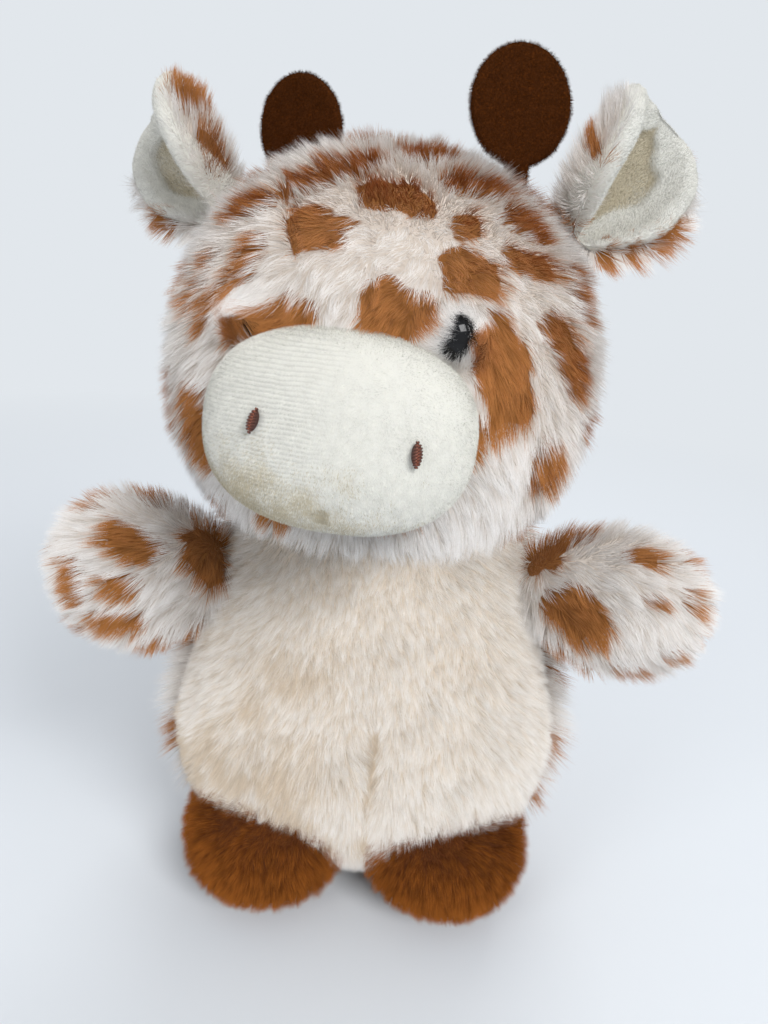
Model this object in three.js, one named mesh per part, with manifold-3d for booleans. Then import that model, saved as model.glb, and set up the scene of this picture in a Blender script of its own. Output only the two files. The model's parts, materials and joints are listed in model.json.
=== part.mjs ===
// A small plush giraffe, in millimetres.
// +Z is up, the face looks along -Y, and +X is the toy's own left.
// Every soft piece is drawn at the outer reach of its pile, so a cover is as thick as its fur.

import * as THREE from 'three';
import { mergeVertices } from 'three/addons/utils/BufferGeometryUtils.js';
import Module from 'manifold-3d';

const wasm = await Module();
wasm.setup();

// Fits: the air between pieces that touch, and between two panels at a seam
const TOUCH_GAP = 0.3;
const SEAM_GAP = 0.3;

// Fabrics, each with its pile
const FUR_THICKNESS = 5;
const BELLY_THICKNESS = 4;
const FOOT_THICKNESS = 4;
const MUZZLE_THICKNESS = 1.6;
const EAR_FUR_THICKNESS = 3.6;
const EAR_LINING_THICKNESS = 1.2;
const EAR_LAYER_GAP = 0.8;

// Body: a pear, widest low down, cut flat where it sits
const BODY_WIDTH = 102;
const BODY_DEPTH = 78;
const BODY_WIDEST_HEIGHT = 47.5;
const BODY_RISE = 100;
const BODY_TAPER = 0.5;
const BODY_LEAN = 7;
const BODY_CENTRE_Y = 3.5;
const BELLY_SEAM_Y = -11;
const SEAT_CUT = 0.5;

// Neck: head and body meet on one level ring
const NECK_HEIGHT = 100;

// Head: held a little turned and tipped up on its neck
const HEAD_WIDTH = 96;
const HEAD_DEPTH = 87.4;
const HEAD_HEIGHT = 94.2;
const HEAD_CENTRE = new THREE.Vector3(-2.4, -0.85, 130.1);
const HEAD_TURN = -9.9;
const HEAD_TIP = -6.7;
const HEAD_LEAN = 0.9;
const HEAD_SEAM_Y = 2;

// Muzzle: an oval dome sewn into the face
const MUZZLE_WIDTH = 49.8;
const MUZZLE_HEIGHT = 37;
const MUZZLE_BULGE = 17;
const MUZZLE_ROOT = 12;
const MUZZLE_CENTRE_Y = -36.8;
const MUZZLE_CENTRE_Z = -10.4;

// Nostrils: two padded ovals of stitching
const NOSTRIL_SPREAD = { left: 15.8, right: 11 };
const NOSTRIL_RAISE = { left: -0.2, right: 1.8 };
const NOSTRIL_WIDTH = 2.2;
const NOSTRIL_HEIGHT = 4.6;
const NOSTRIL_PAD = 1.1;
const NOSTRIL_SLANT = 8;

// Eyes: domes with a shank through the face, held by a washer inside
const EYE_SPREAD = 19.4;
const EYE_HEIGHT = 9;
const EYE_DIAMETER = 9;
const EYE_DOME = 4;
const EYE_STANDS_OUT = 0.4;
const SHANK_DIAMETER = 3;
const WASHER_DIAMETER = 11;
const WASHER_THICKNESS = 1.4;
const SHANK_PAST_WASHER = 1.2;

// The washer lies just inside the cover
const WASHER_TOP = -(FUR_THICKNESS + 2 * TOUCH_GAP);

// Horns: one oval of felt each, on a narrow stem
const HORN_WIDTH = 21;
const HORN_OVAL_HEIGHT = 23.5;
const HORN_FELT = 2.2;
const HORN_STEM_WIDTH = 4.4;
const HORN_STEM_LENGTH = 2.6;
const HORN_SPREAD = { left: 23.1, right: 24.9 };
const HORN_SET_BACK = { left: 0, right: 14.5 };
const HORN_LEAN_IN = { left: 5, right: -14.5 };
const HORN_LEAN_BACK = { left: 4, right: -5 };
const HORN_TURN_OUT = { left: 18, right: 14.5 };
const HORN_BEND_RANGE = 15;

// Ears: a rolled leaf of fur with a smooth lining
const EAR_LENGTH = 26;
const EAR_OUTER_FLAP = 13;
const EAR_INNER_FLAP = 19.5;
const EAR_LINING_REACH = 1.6;
const EAR_FUR_REACH = 1;
const EAR_WIDEST_AT = 13;
const EAR_TIP_CUT = 0.14;
const EAR_TIP_FULLNESS = 3;
const EAR_ROOT_SHARE = 0.3;
const EAR_ROOT_CURL = 140;
const EAR_OUTER_FLAP_CURL = 48;
const EAR_INNER_FLAP_CURL = 100;
const EAR_SPREAD = { left: 36.5, right: 38.5 };
const EAR_RAISE = { left: 59, right: 50 };
const EAR_ROLL_OUT = 28;
const EAR_FLOP_RANGE = 18;

// Arms: short fat paddles on a side seam
const ARM_LENGTH = 48.5;
const ARM_HEIGHT = { left: 38.5, right: 42 };
const ARM_DEPTH = 28;
const ARM_TAPER = 0.26;
const ARM_DROOP = { left: 10, right: 11 };
const ARM_CENTRE_Y = -16;
const ARM_FORWARD = { left: 6, right: -8 };
const SHOULDER_HEIGHT = { left: 89, right: 85.5 };
const ARM_SINK = 6;
const ARM_SWING_RANGE = 30;

// Feet: two round lobes in front, cut flat underneath
const FOOT_WIDTH = 43;
const FOOT_LENGTH = 46;
const FOOT_HEIGHT = 33;
const FOOT_SPREAD = 22;
const FOOT_CENTRE_Y = -15;

// Tail: a short cord of fur with a tuft
const TAIL_HEIGHT = 44;
const TAIL_DIAMETER = 9;
const TAIL_LENGTH = 24;
const TAIL_TILT = 10;
const TUFT_DIAMETER = 13;
const TUFT_RISE = 12;
const TUFT_DROP = 8;
const TUFT_TAPER = 0.4;
const TAIL_SWING_RANGE = 35;

// Half the size of the blocks that cut a form in two
const BLOCK_REACH = 150;

// Inner forms have this share of an outer form's facets
const INNER_FACETS = 0.6;

const LEFT = 1;
const RIGHT = -1;
const SIDES = [['left', LEFT], ['right', RIGHT]];

const turn = THREE.MathUtils.degToRad;

// Materials

const spottedFur = new THREE.MeshStandardMaterial({ color: 0xc9a183, roughness: 0.95, metalness: 0 });
const bellyPlush = new THREE.MeshStandardMaterial({ color: 0xe6dccb, roughness: 0.95, metalness: 0 });
const brownPlush = new THREE.MeshStandardMaterial({ color: 0x8f4e20, roughness: 0.95, metalness: 0 });
const velboa = new THREE.MeshStandardMaterial({ color: 0xe9e6d8, roughness: 0.9, metalness: 0 });
const felt = new THREE.MeshStandardMaterial({ color: 0x3b1d0a, roughness: 1, metalness: 0 });
const thread = new THREE.MeshStandardMaterial({ color: 0x7a3a22, roughness: 0.6, metalness: 0 });
const blackPlastic = new THREE.MeshStandardMaterial({ color: 0x0a0a0c, roughness: 0.08, metalness: 0 });
const whitePlastic = new THREE.MeshStandardMaterial({ color: 0xd8d8d4, roughness: 0.5, metalness: 0 });
const fibrefill = new THREE.MeshStandardMaterial({ color: 0xf4f3ef, roughness: 1, metalness: 0 });

// Joining and cutting of closed forms

function solidOf(geometry) {
  const bare = geometry.clone();
  bare.deleteAttribute('normal');
  bare.deleteAttribute('uv');
  const merged = mergeVertices(bare, 1e-4);
  return new wasm.Manifold(new wasm.Mesh({
    numProp: 3,
    vertProperties: new Float32Array(merged.attributes.position.array),
    triVerts: new Uint32Array(merged.index.array),
  }));
}

function geometryOf(solid) {
  const mesh = solid.getMesh();
  const geometry = new THREE.BufferGeometry();
  geometry.setAttribute('position', new THREE.BufferAttribute(new Float32Array(mesh.vertProperties), 3));
  geometry.setIndex(new THREE.BufferAttribute(new Uint32Array(mesh.triVerts), 1));
  return geometry;
}

function block(low, high) {
  const box = new THREE.BoxGeometry(high[0] - low[0], high[1] - low[1], high[2] - low[2]);
  return box.translate((low[0] + high[0]) / 2, (low[1] + high[1]) / 2, (low[2] + high[2]) / 2);
}

function keepSide(solid, axis, from, to) {
  const low = [-BLOCK_REACH, -BLOCK_REACH, -BLOCK_REACH];
  const high = [BLOCK_REACH, BLOCK_REACH, BLOCK_REACH];
  low[axis] = Math.max(from, -BLOCK_REACH);
  high[axis] = Math.min(to, BLOCK_REACH);
  return solid.intersect(solidOf(block(low, high)));
}

function seenFrom(frame, geometry) {
  return geometry.clone().applyMatrix4(frame.clone().invert());
}

// Cuts an obstacle out of a piece in every pose of a swing about the piece's own origin
function clearThroughSwing(solid, obstacle, axis, range) {
  let cleared = solid;
  for (const angle of [-range, -range / 2, 0, range / 2, range]) {
    const moved = obstacle.clone().applyMatrix4(new THREE.Matrix4().makeRotationAxis(axis, turn(angle)));
    cleared = cleared.subtract(solidOf(moved));
  }
  return cleared;
}

// Stuffed forms: a rounded solid with its poles on Z, fuller than an ellipsoid where fullness is over 2

function stuffedForm(size, inset = 0) {
  const share = inset > 0 ? INNER_FACETS : 1;
  const sides = 2 * Math.round(size.sides * share / 2);
  const form = new THREE.SphereGeometry(1, sides, Math.round(size.rings * share));
  form.rotateX(Math.PI / 2);
  const halfWidth = size.width / 2 - inset;
  const halfDepth = size.depth / 2 - inset;
  const place = form.attributes.position;
  const signedPower = (value, power) => Math.sign(value) * Math.abs(value) ** power;
  for (let i = 0; i < place.count; i += 1) {
    const height = place.getZ(i);
    const fullness = height > 0 ? size.topFullness : size.baseFullness;
    const level = signedPower(height, 2 / fullness);
    const reach = Math.hypot(place.getX(i), place.getY(i)) ** (2 / fullness);
    const spread = reach * (1 - size.taper * Math.max(level, 0));
    const angle = Math.atan2(place.getY(i), place.getX(i));
    const x = halfWidth * spread * signedPower(Math.cos(angle), 2 / size.planFullness);
    const y = halfDepth * spread * signedPower(Math.sin(angle), 2 / size.planFullness);
    const z = level * (level > 0 ? size.rise - inset : size.drop - inset);
    place.setXYZ(i, x, y, z);
  }
  return form;
}

// Where a ray from outside first meets a form
function surfacePoint(form, from, direction) {
  const skin = new THREE.Mesh(form, new THREE.MeshBasicMaterial());
  return new THREE.Raycaster(from, direction).intersectObject(skin)[0].point;
}

// Scene helpers

const toy = new THREE.Group();

function addPiece(parent, name, shape, material) {
  const geometry = shape instanceof THREE.BufferGeometry ? shape : geometryOf(shape);
  const mesh = new THREE.Mesh(geometry, material);
  mesh.name = name;
  parent.add(mesh);
  return mesh;
}

function addFrame(parent, position, rotation = new THREE.Matrix4()) {
  const frame = new THREE.Group();
  frame.position.copy(position);
  frame.quaternion.setFromRotationMatrix(rotation);
  frame.updateMatrix();
  parent.add(frame);
  return frame;
}

function rotations(...steps) {
  const result = new THREE.Matrix4();
  const makers = { x: 'makeRotationX', y: 'makeRotationY', z: 'makeRotationZ' };
  for (const [axis, degrees] of steps) {
    result.multiply(new THREE.Matrix4()[makers[axis]](turn(degrees)));
  }
  return result;
}

// Body

const bodySize = {
  width: BODY_WIDTH,
  depth: BODY_DEPTH,
  rise: BODY_RISE,
  drop: BODY_WIDEST_HEIGHT + SEAT_CUT,
  topFullness: 2.3,
  baseFullness: 2.7,
  planFullness: 2.4,
  taper: BODY_TAPER,
  sides: 32,
  rings: 16,
};

function bodyForm(inset = 0) {
  const form = stuffedForm(bodySize, inset).applyMatrix4(rotations(['x', BODY_LEAN]));
  return form.translate(0, BODY_CENTRE_Y, BODY_WIDEST_HEIGHT);
}

function betweenSeatAndNeck(form, inset = 0) {
  return keepSide(solidOf(form), 2, 0, NECK_HEIGHT - SEAM_GAP / 2 - inset);
}

function addBody() {
  const outer = betweenSeatAndNeck(bodyForm());
  const seam = SEAM_GAP / 2;
  const plush = outer.subtract(solidOf(bodyForm(BELLY_THICKNESS)));
  const fur = outer.subtract(solidOf(bodyForm(FUR_THICKNESS)));
  const belly = keepSide(plush, 1, -BLOCK_REACH, BELLY_SEAM_Y - seam);
  const back = keepSide(fur, 1, BELLY_SEAM_Y + seam, BLOCK_REACH);
  addPiece(toy, 'belly_panel', belly, bellyPlush);
  addPiece(toy, 'body_back_left_panel', keepSide(back, 0, seam, BLOCK_REACH), spottedFur);
  addPiece(toy, 'body_back_right_panel', keepSide(back, 0, -BLOCK_REACH, -seam), spottedFur);
  addPiece(toy, 'body_stuffing', betweenSeatAndNeck(bodyForm(FUR_THICKNESS + TOUCH_GAP)), fibrefill);
}

// Feet

const footSize = {
  width: FOOT_WIDTH,
  depth: FOOT_LENGTH,
  rise: (FOOT_HEIGHT + SEAT_CUT) / 2,
  drop: (FOOT_HEIGHT + SEAT_CUT) / 2,
  topFullness: 2.2,
  baseFullness: 2.4,
  planFullness: 2.2,
  taper: 0,
  sides: 20,
  rings: 10,
};

function footForm(side, inset = 0) {
  const height = footSize.drop - SEAT_CUT;
  return stuffedForm(footSize, inset).translate(side * FOOT_SPREAD, FOOT_CENTRE_Y, height);
}

function addFeet() {
  for (const [name, side] of SIDES) {
    const hollow = solidOf(footForm(side, FOOT_THICKNESS));
    const body = solidOf(bodyForm(-TOUCH_GAP));
    const halfGap = TOUCH_GAP / 2;
    const ownHalf = side === LEFT ? [halfGap, BLOCK_REACH] : [-BLOCK_REACH, -halfGap];
    const foot = keepSide(keepSide(solidOf(footForm(side)), 2, 0, BLOCK_REACH), 0, ...ownHalf);
    addPiece(toy, `foot_${name}_cover`, foot.subtract(hollow).subtract(body), brownPlush);
    const filling = solidOf(footForm(side, FOOT_THICKNESS + TOUCH_GAP));
    addPiece(toy, `foot_${name}_stuffing`, filling.subtract(body), fibrefill);
  }
}

// Arms

const armSize = {
  depth: ARM_DEPTH,
  rise: ARM_LENGTH / 2,
  drop: ARM_LENGTH / 2,
  topFullness: 2.3,
  baseFullness: 2.3,
  planFullness: 2.1,
  taper: ARM_TAPER,
  sides: 16,
  rings: 10,
};

function armForm(name, side, inset = 0) {
  const middle = ARM_LENGTH / 2 - ARM_SINK;
  const form = stuffedForm({ ...armSize, width: ARM_HEIGHT[name] }, inset).translate(0, 0, -middle);
  return form.applyMatrix4(rotations(['z', -side * ARM_FORWARD[name]], ['y', -side * (90 - ARM_DROOP[name])]));
}

function addArms() {
  const upright = new THREE.Vector3(0, 0, 1);
  for (const [name, side] of SIDES) {
    const beside = new THREE.Vector3(side * BODY_WIDTH, ARM_CENTRE_Y, SHOULDER_HEIGHT[name]);
    const frame = addFrame(toy, surfacePoint(bodyForm(), beside, new THREE.Vector3(-side, 0, 0)));
    const body = seenFrom(frame.matrix, bodyForm(-TOUCH_GAP));
    const shell = solidOf(armForm(name, side)).subtract(solidOf(armForm(name, side, FUR_THICKNESS)));
    const sleeve = clearThroughSwing(shell, body, upright, ARM_SWING_RANGE);
    const seam = SEAM_GAP / 2;
    addPiece(frame, `arm_${name}_front_cover`, keepSide(sleeve, 1, -BLOCK_REACH, -seam), spottedFur);
    addPiece(frame, `arm_${name}_back_cover`, keepSide(sleeve, 1, seam, BLOCK_REACH), spottedFur);
    const core = solidOf(armForm(name, side, FUR_THICKNESS + TOUCH_GAP));
    const filling = clearThroughSwing(core, body, upright, ARM_SWING_RANGE);
    addPiece(frame, `arm_${name}_stuffing`, filling, fibrefill);
  }
}

// Head

const headSize = {
  width: HEAD_WIDTH,
  depth: HEAD_DEPTH,
  rise: HEAD_HEIGHT / 2,
  drop: HEAD_HEIGHT / 2,
  topFullness: 2.1,
  baseFullness: 2.2,
  planFullness: 2.1,
  taper: 0,
  sides: 32,
  rings: 16,
};

const muzzleSize = {
  width: MUZZLE_WIDTH,
  depth: MUZZLE_HEIGHT,
  rise: MUZZLE_BULGE,
  drop: MUZZLE_ROOT,
  topFullness: 2.4,
  baseFullness: 2.4,
  planFullness: 2.4,
  taper: 0,
  sides: 24,
  rings: 12,
};

const headFrame = addFrame(toy, HEAD_CENTRE, rotations(['z', HEAD_TURN], ['y', HEAD_LEAN], ['x', HEAD_TIP]));

// A point of the crown, on the seam or behind it
function crownPoint(x, behind = 0) {
  const above = new THREE.Vector3(x, HEAD_SEAM_Y + behind, HEAD_HEIGHT);
  return surfacePoint(stuffedForm(headSize), above, new THREE.Vector3(0, 0, -1));
}

function muzzleForm(inset = 0) {
  const form = stuffedForm(muzzleSize, inset).applyMatrix4(rotations(['x', 90]));
  return form.translate(0, MUZZLE_CENTRE_Y, MUZZLE_CENTRE_Z);
}

function belowNeck() {
  const low = [-BLOCK_REACH, -BLOCK_REACH, -BLOCK_REACH];
  const high = [BLOCK_REACH, BLOCK_REACH, NECK_HEIGHT + SEAM_GAP / 2];
  return solidOf(seenFrom(headFrame.matrix, block(low, high)));
}

// Eyes: profiles around the eye's own outward axis, with the fur's outer reach at height 0

function eyeProfile(grow = 0) {
  const back = EYE_STANDS_OUT - EYE_DOME - grow;
  const shankEnd = WASHER_TOP - WASHER_THICKNESS - SHANK_PAST_WASHER - grow;
  const shankRadius = SHANK_DIAMETER / 2 + grow;
  const points = [[0, shankEnd], [shankRadius, shankEnd], [shankRadius, back]];
  const domeSteps = 4;
  for (let step = 0; step <= domeSteps; step += 1) {
    const angle = turn(90) * step / domeSteps;
    const reach = step === domeSteps ? 0 : (EYE_DIAMETER / 2 + grow) * Math.cos(angle);
    points.push([reach, back + (EYE_DOME + 2 * grow) * Math.sin(angle)]);
  }
  return points.map(([radius, height]) => new THREE.Vector2(radius, height));
}

function eyeForm(grow = 0) {
  return new THREE.LatheGeometry(eyeProfile(grow), 16).rotateX(Math.PI / 2);
}

function washerForm(grow = 0) {
  const top = WASHER_TOP + grow;
  const base = WASHER_TOP - WASHER_THICKNESS - grow;
  const bore = SHANK_DIAMETER / 2 + TOUCH_GAP - grow;
  const rim = WASHER_DIAMETER / 2 + grow;
  const points = [[bore, base], [rim, base], [rim, top], [bore, top], [bore, base]];
  return new THREE.LatheGeometry(points.map(([r, z]) => new THREE.Vector2(r, z)), 16).rotateX(Math.PI / 2);
}

function addHead() {
  const outer = solidOf(stuffedForm(headSize)).subtract(belowNeck());
  const hollow = solidOf(stuffedForm(headSize, FUR_THICKNESS));
  const shell = outer.subtract(hollow);
  const seam = SEAM_GAP / 2;
  let face = keepSide(shell, 1, -BLOCK_REACH, HEAD_SEAM_Y - seam).subtract(solidOf(muzzleForm(-TOUCH_GAP)));
  const nape = keepSide(shell, 1, HEAD_SEAM_Y + seam, BLOCK_REACH);
  const headFilling = solidOf(stuffedForm(headSize, FUR_THICKNESS + TOUCH_GAP));
  const muzzleFilling = solidOf(muzzleForm(MUZZLE_THICKNESS + TOUCH_GAP));
  let filling = headFilling.add(muzzleFilling).subtract(belowNeck());
  let muzzle = solidOf(muzzleForm()).subtract(solidOf(muzzleForm(MUZZLE_THICKNESS))).subtract(hollow);

  for (const [name, side] of SIDES) {
    const ahead = new THREE.Vector3(side * EYE_SPREAD, -HEAD_DEPTH, EYE_HEIGHT);
    const place = surfacePoint(stuffedForm(headSize), ahead, new THREE.Vector3(0, 1, 0));
    const outward = new THREE.Vector3(
      place.x / headSize.width ** 2,
      place.y / headSize.depth ** 2,
      place.z / HEAD_HEIGHT ** 2,
    ).normalize();
    const facing = new THREE.Matrix4().makeRotationFromQuaternion(
      new THREE.Quaternion().setFromUnitVectors(new THREE.Vector3(0, 0, 1), outward),
    );
    const frame = addFrame(headFrame, place, facing);
    addPiece(frame, `eye_${name}`, solidOf(eyeForm()), blackPlastic);
    addPiece(frame, `eye_washer_${name}`, solidOf(washerForm()), whitePlastic);
    const pocket = solidOf(eyeForm(TOUCH_GAP).applyMatrix4(frame.matrix));
    const washerSeat = solidOf(washerForm(TOUCH_GAP).applyMatrix4(frame.matrix));
    face = face.subtract(pocket).subtract(washerSeat);
    filling = filling.subtract(pocket).subtract(washerSeat);
    muzzle = muzzle.subtract(pocket).subtract(washerSeat);
  }

  addPiece(headFrame, 'head_front_cover', face, spottedFur);
  addPiece(headFrame, 'head_back_left_cover', keepSide(nape, 0, seam, BLOCK_REACH), spottedFur);
  addPiece(headFrame, 'head_back_right_cover', keepSide(nape, 0, -BLOCK_REACH, -seam), spottedFur);
  addPiece(headFrame, 'head_stuffing', filling, fibrefill);
  addPiece(headFrame, 'muzzle_cover', muzzle, velboa);
}

function addNostrils() {
  for (const [name, side] of SIDES) {
    const height = MUZZLE_CENTRE_Z + NOSTRIL_RAISE[name];
    const ahead = new THREE.Vector3(side * NOSTRIL_SPREAD[name], -HEAD_DEPTH, height);
    const place = surfacePoint(muzzleForm(), ahead, new THREE.Vector3(0, 1, 0));
    const frame = addFrame(headFrame, place, rotations(['y', -NOSTRIL_SLANT]));
    const pad = new THREE.SphereGeometry(1, 12, 8);
    pad.scale(NOSTRIL_WIDTH / 2, NOSTRIL_PAD + TOUCH_GAP, NOSTRIL_HEIGHT / 2);
    const muzzle = solidOf(seenFrom(frame.matrix, muzzleForm(-TOUCH_GAP)));
    addPiece(frame, `nostril_${name}`, solidOf(pad).subtract(muzzle), thread);
  }
}

// Horns

function hornForm() {
  const oval = new THREE.Shape();
  const halfStem = HORN_STEM_WIDTH / 2;
  const centre = HORN_STEM_LENGTH + HORN_OVAL_HEIGHT / 2;
  const open = Math.asin(halfStem / (HORN_WIDTH / 2));
  oval.moveTo(-halfStem, -HORN_STEM_LENGTH);
  oval.lineTo(halfStem, -HORN_STEM_LENGTH);
  const from = open - Math.PI / 2;
  const to = 1.5 * Math.PI - open;
  oval.absellipse(0, centre, HORN_WIDTH / 2, HORN_OVAL_HEIGHT / 2, from, to, false, 0);
  oval.closePath();
  const form = new THREE.ExtrudeGeometry(oval, { depth: HORN_FELT, bevelEnabled: false, curveSegments: 18 });
  return form.translate(0, 0, -HORN_FELT / 2).rotateX(Math.PI / 2);
}

function addHorns() {
  const head = stuffedForm(headSize, -TOUCH_GAP);
  for (const [name, side] of SIDES) {
    const place = crownPoint(side * HORN_SPREAD[name], HORN_SET_BACK[name]);
    const turned = [['x', -HORN_LEAN_BACK[name]], ['z', side * HORN_TURN_OUT[name]]];
    const lie = rotations(...turned, ['y', -side * HORN_LEAN_IN[name]]);
    const frame = addFrame(headFrame, place, lie);
    const sweep = new THREE.Vector3(1, 0, 0);
    const horn = clearThroughSwing(solidOf(hornForm()), seenFrom(frame.matrix, head), sweep, HORN_BEND_RANGE);
    addPiece(frame, `horn_${name}`, horn, felt);
  }
}

// Ears: a closed sheet between two offsets of one rolled leaf

// A point of the leaf at a height above its root. Across runs -1 to 1 from the outer flap to the inner one.
function earPoint(height, across, offset, reach, inward) {
  const widening = Math.sin(turn(90) * Math.min(1, height / EAR_WIDEST_AT));
  const opened = THREE.MathUtils.lerp(EAR_ROOT_SHARE, 1, widening);
  const flapCurl = across > 0 ? EAR_INNER_FLAP_CURL : EAR_OUTER_FLAP_CURL;
  const flap = across > 0 ? EAR_INNER_FLAP : EAR_OUTER_FLAP;
  const unrolling = Math.sqrt(Math.min(1, height / EAR_LENGTH));
  const curl = turn(THREE.MathUtils.lerp(EAR_ROOT_CURL, flapCurl, unrolling));
  const radius = flap * opened / curl;
  const past = Math.max(0, (height - EAR_WIDEST_AT) / (EAR_LENGTH + reach - EAR_WIDEST_AT));
  const drawnIn = (1 - past ** EAR_TIP_FULLNESS) ** (1 / EAR_TIP_FULLNESS);
  const angle = across * (flap + reach) * opened * drawnIn / radius;
  const outward = radius + offset;
  return new THREE.Vector3(inward * outward * Math.sin(angle), outward * Math.cos(angle) - radius, height);
}

function earSheet(from, to, reach, inward) {
  const steps = 12;
  const rows = 8;
  const closing = 1.7;
  const tip = EAR_LENGTH + reach - EAR_TIP_CUT;
  const points = [];
  const faces = [];
  const ringLength = 2 * (steps + 1);
  for (let row = 0; row <= rows; row += 1) {
    const height = tip * (1 - (1 - row / rows) ** closing);
    const leaf = (i, offset) => earPoint(height, inward * (2 * i / steps - 1), offset, reach, inward);
    for (let i = 0; i <= steps; i += 1) points.push(leaf(i, from));
    for (let i = steps; i >= 0; i -= 1) points.push(leaf(i, to));
  }
  const quad = (a, b, c, d) => faces.push(a, b, c, a, c, d);
  for (let row = 0; row < rows; row += 1) {
    for (let i = 0; i < ringLength; i += 1) {
      const next = (i + 1) % ringLength;
      const low = row * ringLength;
      const high = low + ringLength;
      quad(low + i, low + next, high + next, high + i);
    }
  }
  for (let i = 0; i < steps; i += 1) {
    const last = rows * ringLength;
    quad(i + 1, i, ringLength - 1 - i, ringLength - 2 - i);
    quad(last + i, last + i + 1, last + ringLength - 2 - i, last + ringLength - 1 - i);
  }
  const sheet = new THREE.BufferGeometry().setFromPoints(points);
  sheet.setIndex(faces);
  return sheet;
}

function addEars() {
  const head = stuffedForm(headSize, -TOUCH_GAP);
  const sideLine = new THREE.Vector3(1, 0, 0);
  for (const [name, side] of SIDES) {
    const place = crownPoint(side * EAR_SPREAD[name]);
    const lie = rotations(['y', side * (90 - EAR_RAISE[name])], ['z', side * EAR_ROLL_OUT]);
    const frame = addFrame(headFrame, place, lie);
    const headHere = seenFrom(frame.matrix, head);
    const lining = solidOf(earSheet(0, EAR_LINING_THICKNESS, EAR_LINING_REACH, -side));
    const layer = EAR_LINING_THICKNESS + EAR_LAYER_GAP;
    const back = solidOf(earSheet(layer, layer + EAR_FUR_THICKNESS, EAR_FUR_REACH, -side));
    const clearOfHead = (sheet) => clearThroughSwing(sheet, headHere, sideLine, EAR_FLOP_RANGE);
    addPiece(frame, `ear_${name}_outer`, clearOfHead(back), spottedFur);
    addPiece(frame, `ear_${name}_lining`, clearOfHead(lining), velboa);
  }
}

// Tail

function addTail() {
  const behind = new THREE.Vector3(0, BODY_DEPTH, TAIL_HEIGHT);
  const root = surfacePoint(bodyForm(), behind, new THREE.Vector3(0, -1, 0));
  const frame = addFrame(toy, root, rotations(['x', TAIL_TILT]));
  const cordSize = {
    width: TAIL_DIAMETER,
    depth: TAIL_DIAMETER,
    rise: TAIL_LENGTH / 2,
    drop: TAIL_LENGTH / 2,
    topFullness: 4,
    baseFullness: 4,
    planFullness: 2,
    taper: 0,
    sides: 12,
    rings: 10,
  };
  const tuftSize = {
    ...cordSize,
    width: TUFT_DIAMETER,
    depth: TUFT_DIAMETER,
    rise: TUFT_RISE,
    drop: TUFT_DROP,
    topFullness: 2,
    baseFullness: 2,
    taper: TUFT_TAPER,
    rings: 8,
  };
  const cord = stuffedForm(cordSize).translate(0, TAIL_DIAMETER / 2, -TAIL_LENGTH / 2 + TAIL_DIAMETER / 2);
  const tuftHeight = TAIL_DIAMETER / 2 - TAIL_LENGTH - tuftSize.rise / 2;
  const tuft = stuffedForm(tuftSize).translate(0, TAIL_DIAMETER / 2, tuftHeight);
  const body = seenFrom(frame.matrix, bodyForm(-TOUCH_GAP));
  const backward = new THREE.Vector3(0, 1, 0);
  const cordSolid = clearThroughSwing(solidOf(cord), body, backward, TAIL_SWING_RANGE);
  const socket = { ...cordSize, width: TAIL_DIAMETER + 2 * TOUCH_GAP, depth: TAIL_DIAMETER + 2 * TOUCH_GAP };
  socket.drop = TAIL_LENGTH / 2 + TOUCH_GAP;
  const cordSpace = stuffedForm(socket).translate(0, TAIL_DIAMETER / 2, -TAIL_LENGTH / 2 + TAIL_DIAMETER / 2);
  const tuftSolid = clearThroughSwing(solidOf(tuft), body, backward, TAIL_SWING_RANGE);
  addPiece(frame, 'tail_cover', cordSolid, spottedFur);
  addPiece(frame, 'tail_tuft', tuftSolid.subtract(solidOf(cordSpace)), brownPlush);
}

addBody();
addFeet();
addArms();
addHead();
addNostrils();
addHorns();
addEars();
addTail();

// The origin is the middle of the toy's footprint, on the surface it stands on
const extent = new THREE.Box3().setFromObject(toy, true);
toy.position.set(-(extent.min.x + extent.max.x) / 2, -(extent.min.y + extent.max.y) / 2, -extent.min.z);

export default toy;
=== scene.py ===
"""A small plush giraffe: its fur, felt, stitching and stage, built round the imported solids.

Lengths are in metres, in the solids' own frame: +Z is up, the face looks along -Y and +X is the toy's left.
"""

import json
import math
from dataclasses import dataclass, replace
from functools import lru_cache, partial

import bmesh
import bpy
import numpy as np
from mathutils import Matrix, Vector, noise
from mathutils.bvhtree import BVHTree


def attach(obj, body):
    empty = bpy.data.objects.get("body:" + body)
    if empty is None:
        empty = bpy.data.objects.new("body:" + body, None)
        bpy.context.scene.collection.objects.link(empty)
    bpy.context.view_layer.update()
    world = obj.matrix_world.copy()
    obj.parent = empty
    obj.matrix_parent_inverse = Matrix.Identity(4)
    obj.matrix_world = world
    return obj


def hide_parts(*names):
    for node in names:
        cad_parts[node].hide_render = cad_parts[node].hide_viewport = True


bl_info = {
    "name": "Plush giraffe",
    "version": (1, 0, 0),
    "blender": (4, 5, 0),
    "location": "View3D > Sidebar > Plush giraffe",
    "description": "Builds the fur, felt, stitching and stage of a small plush giraffe",
    "category": "Add Mesh",
}

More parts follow.
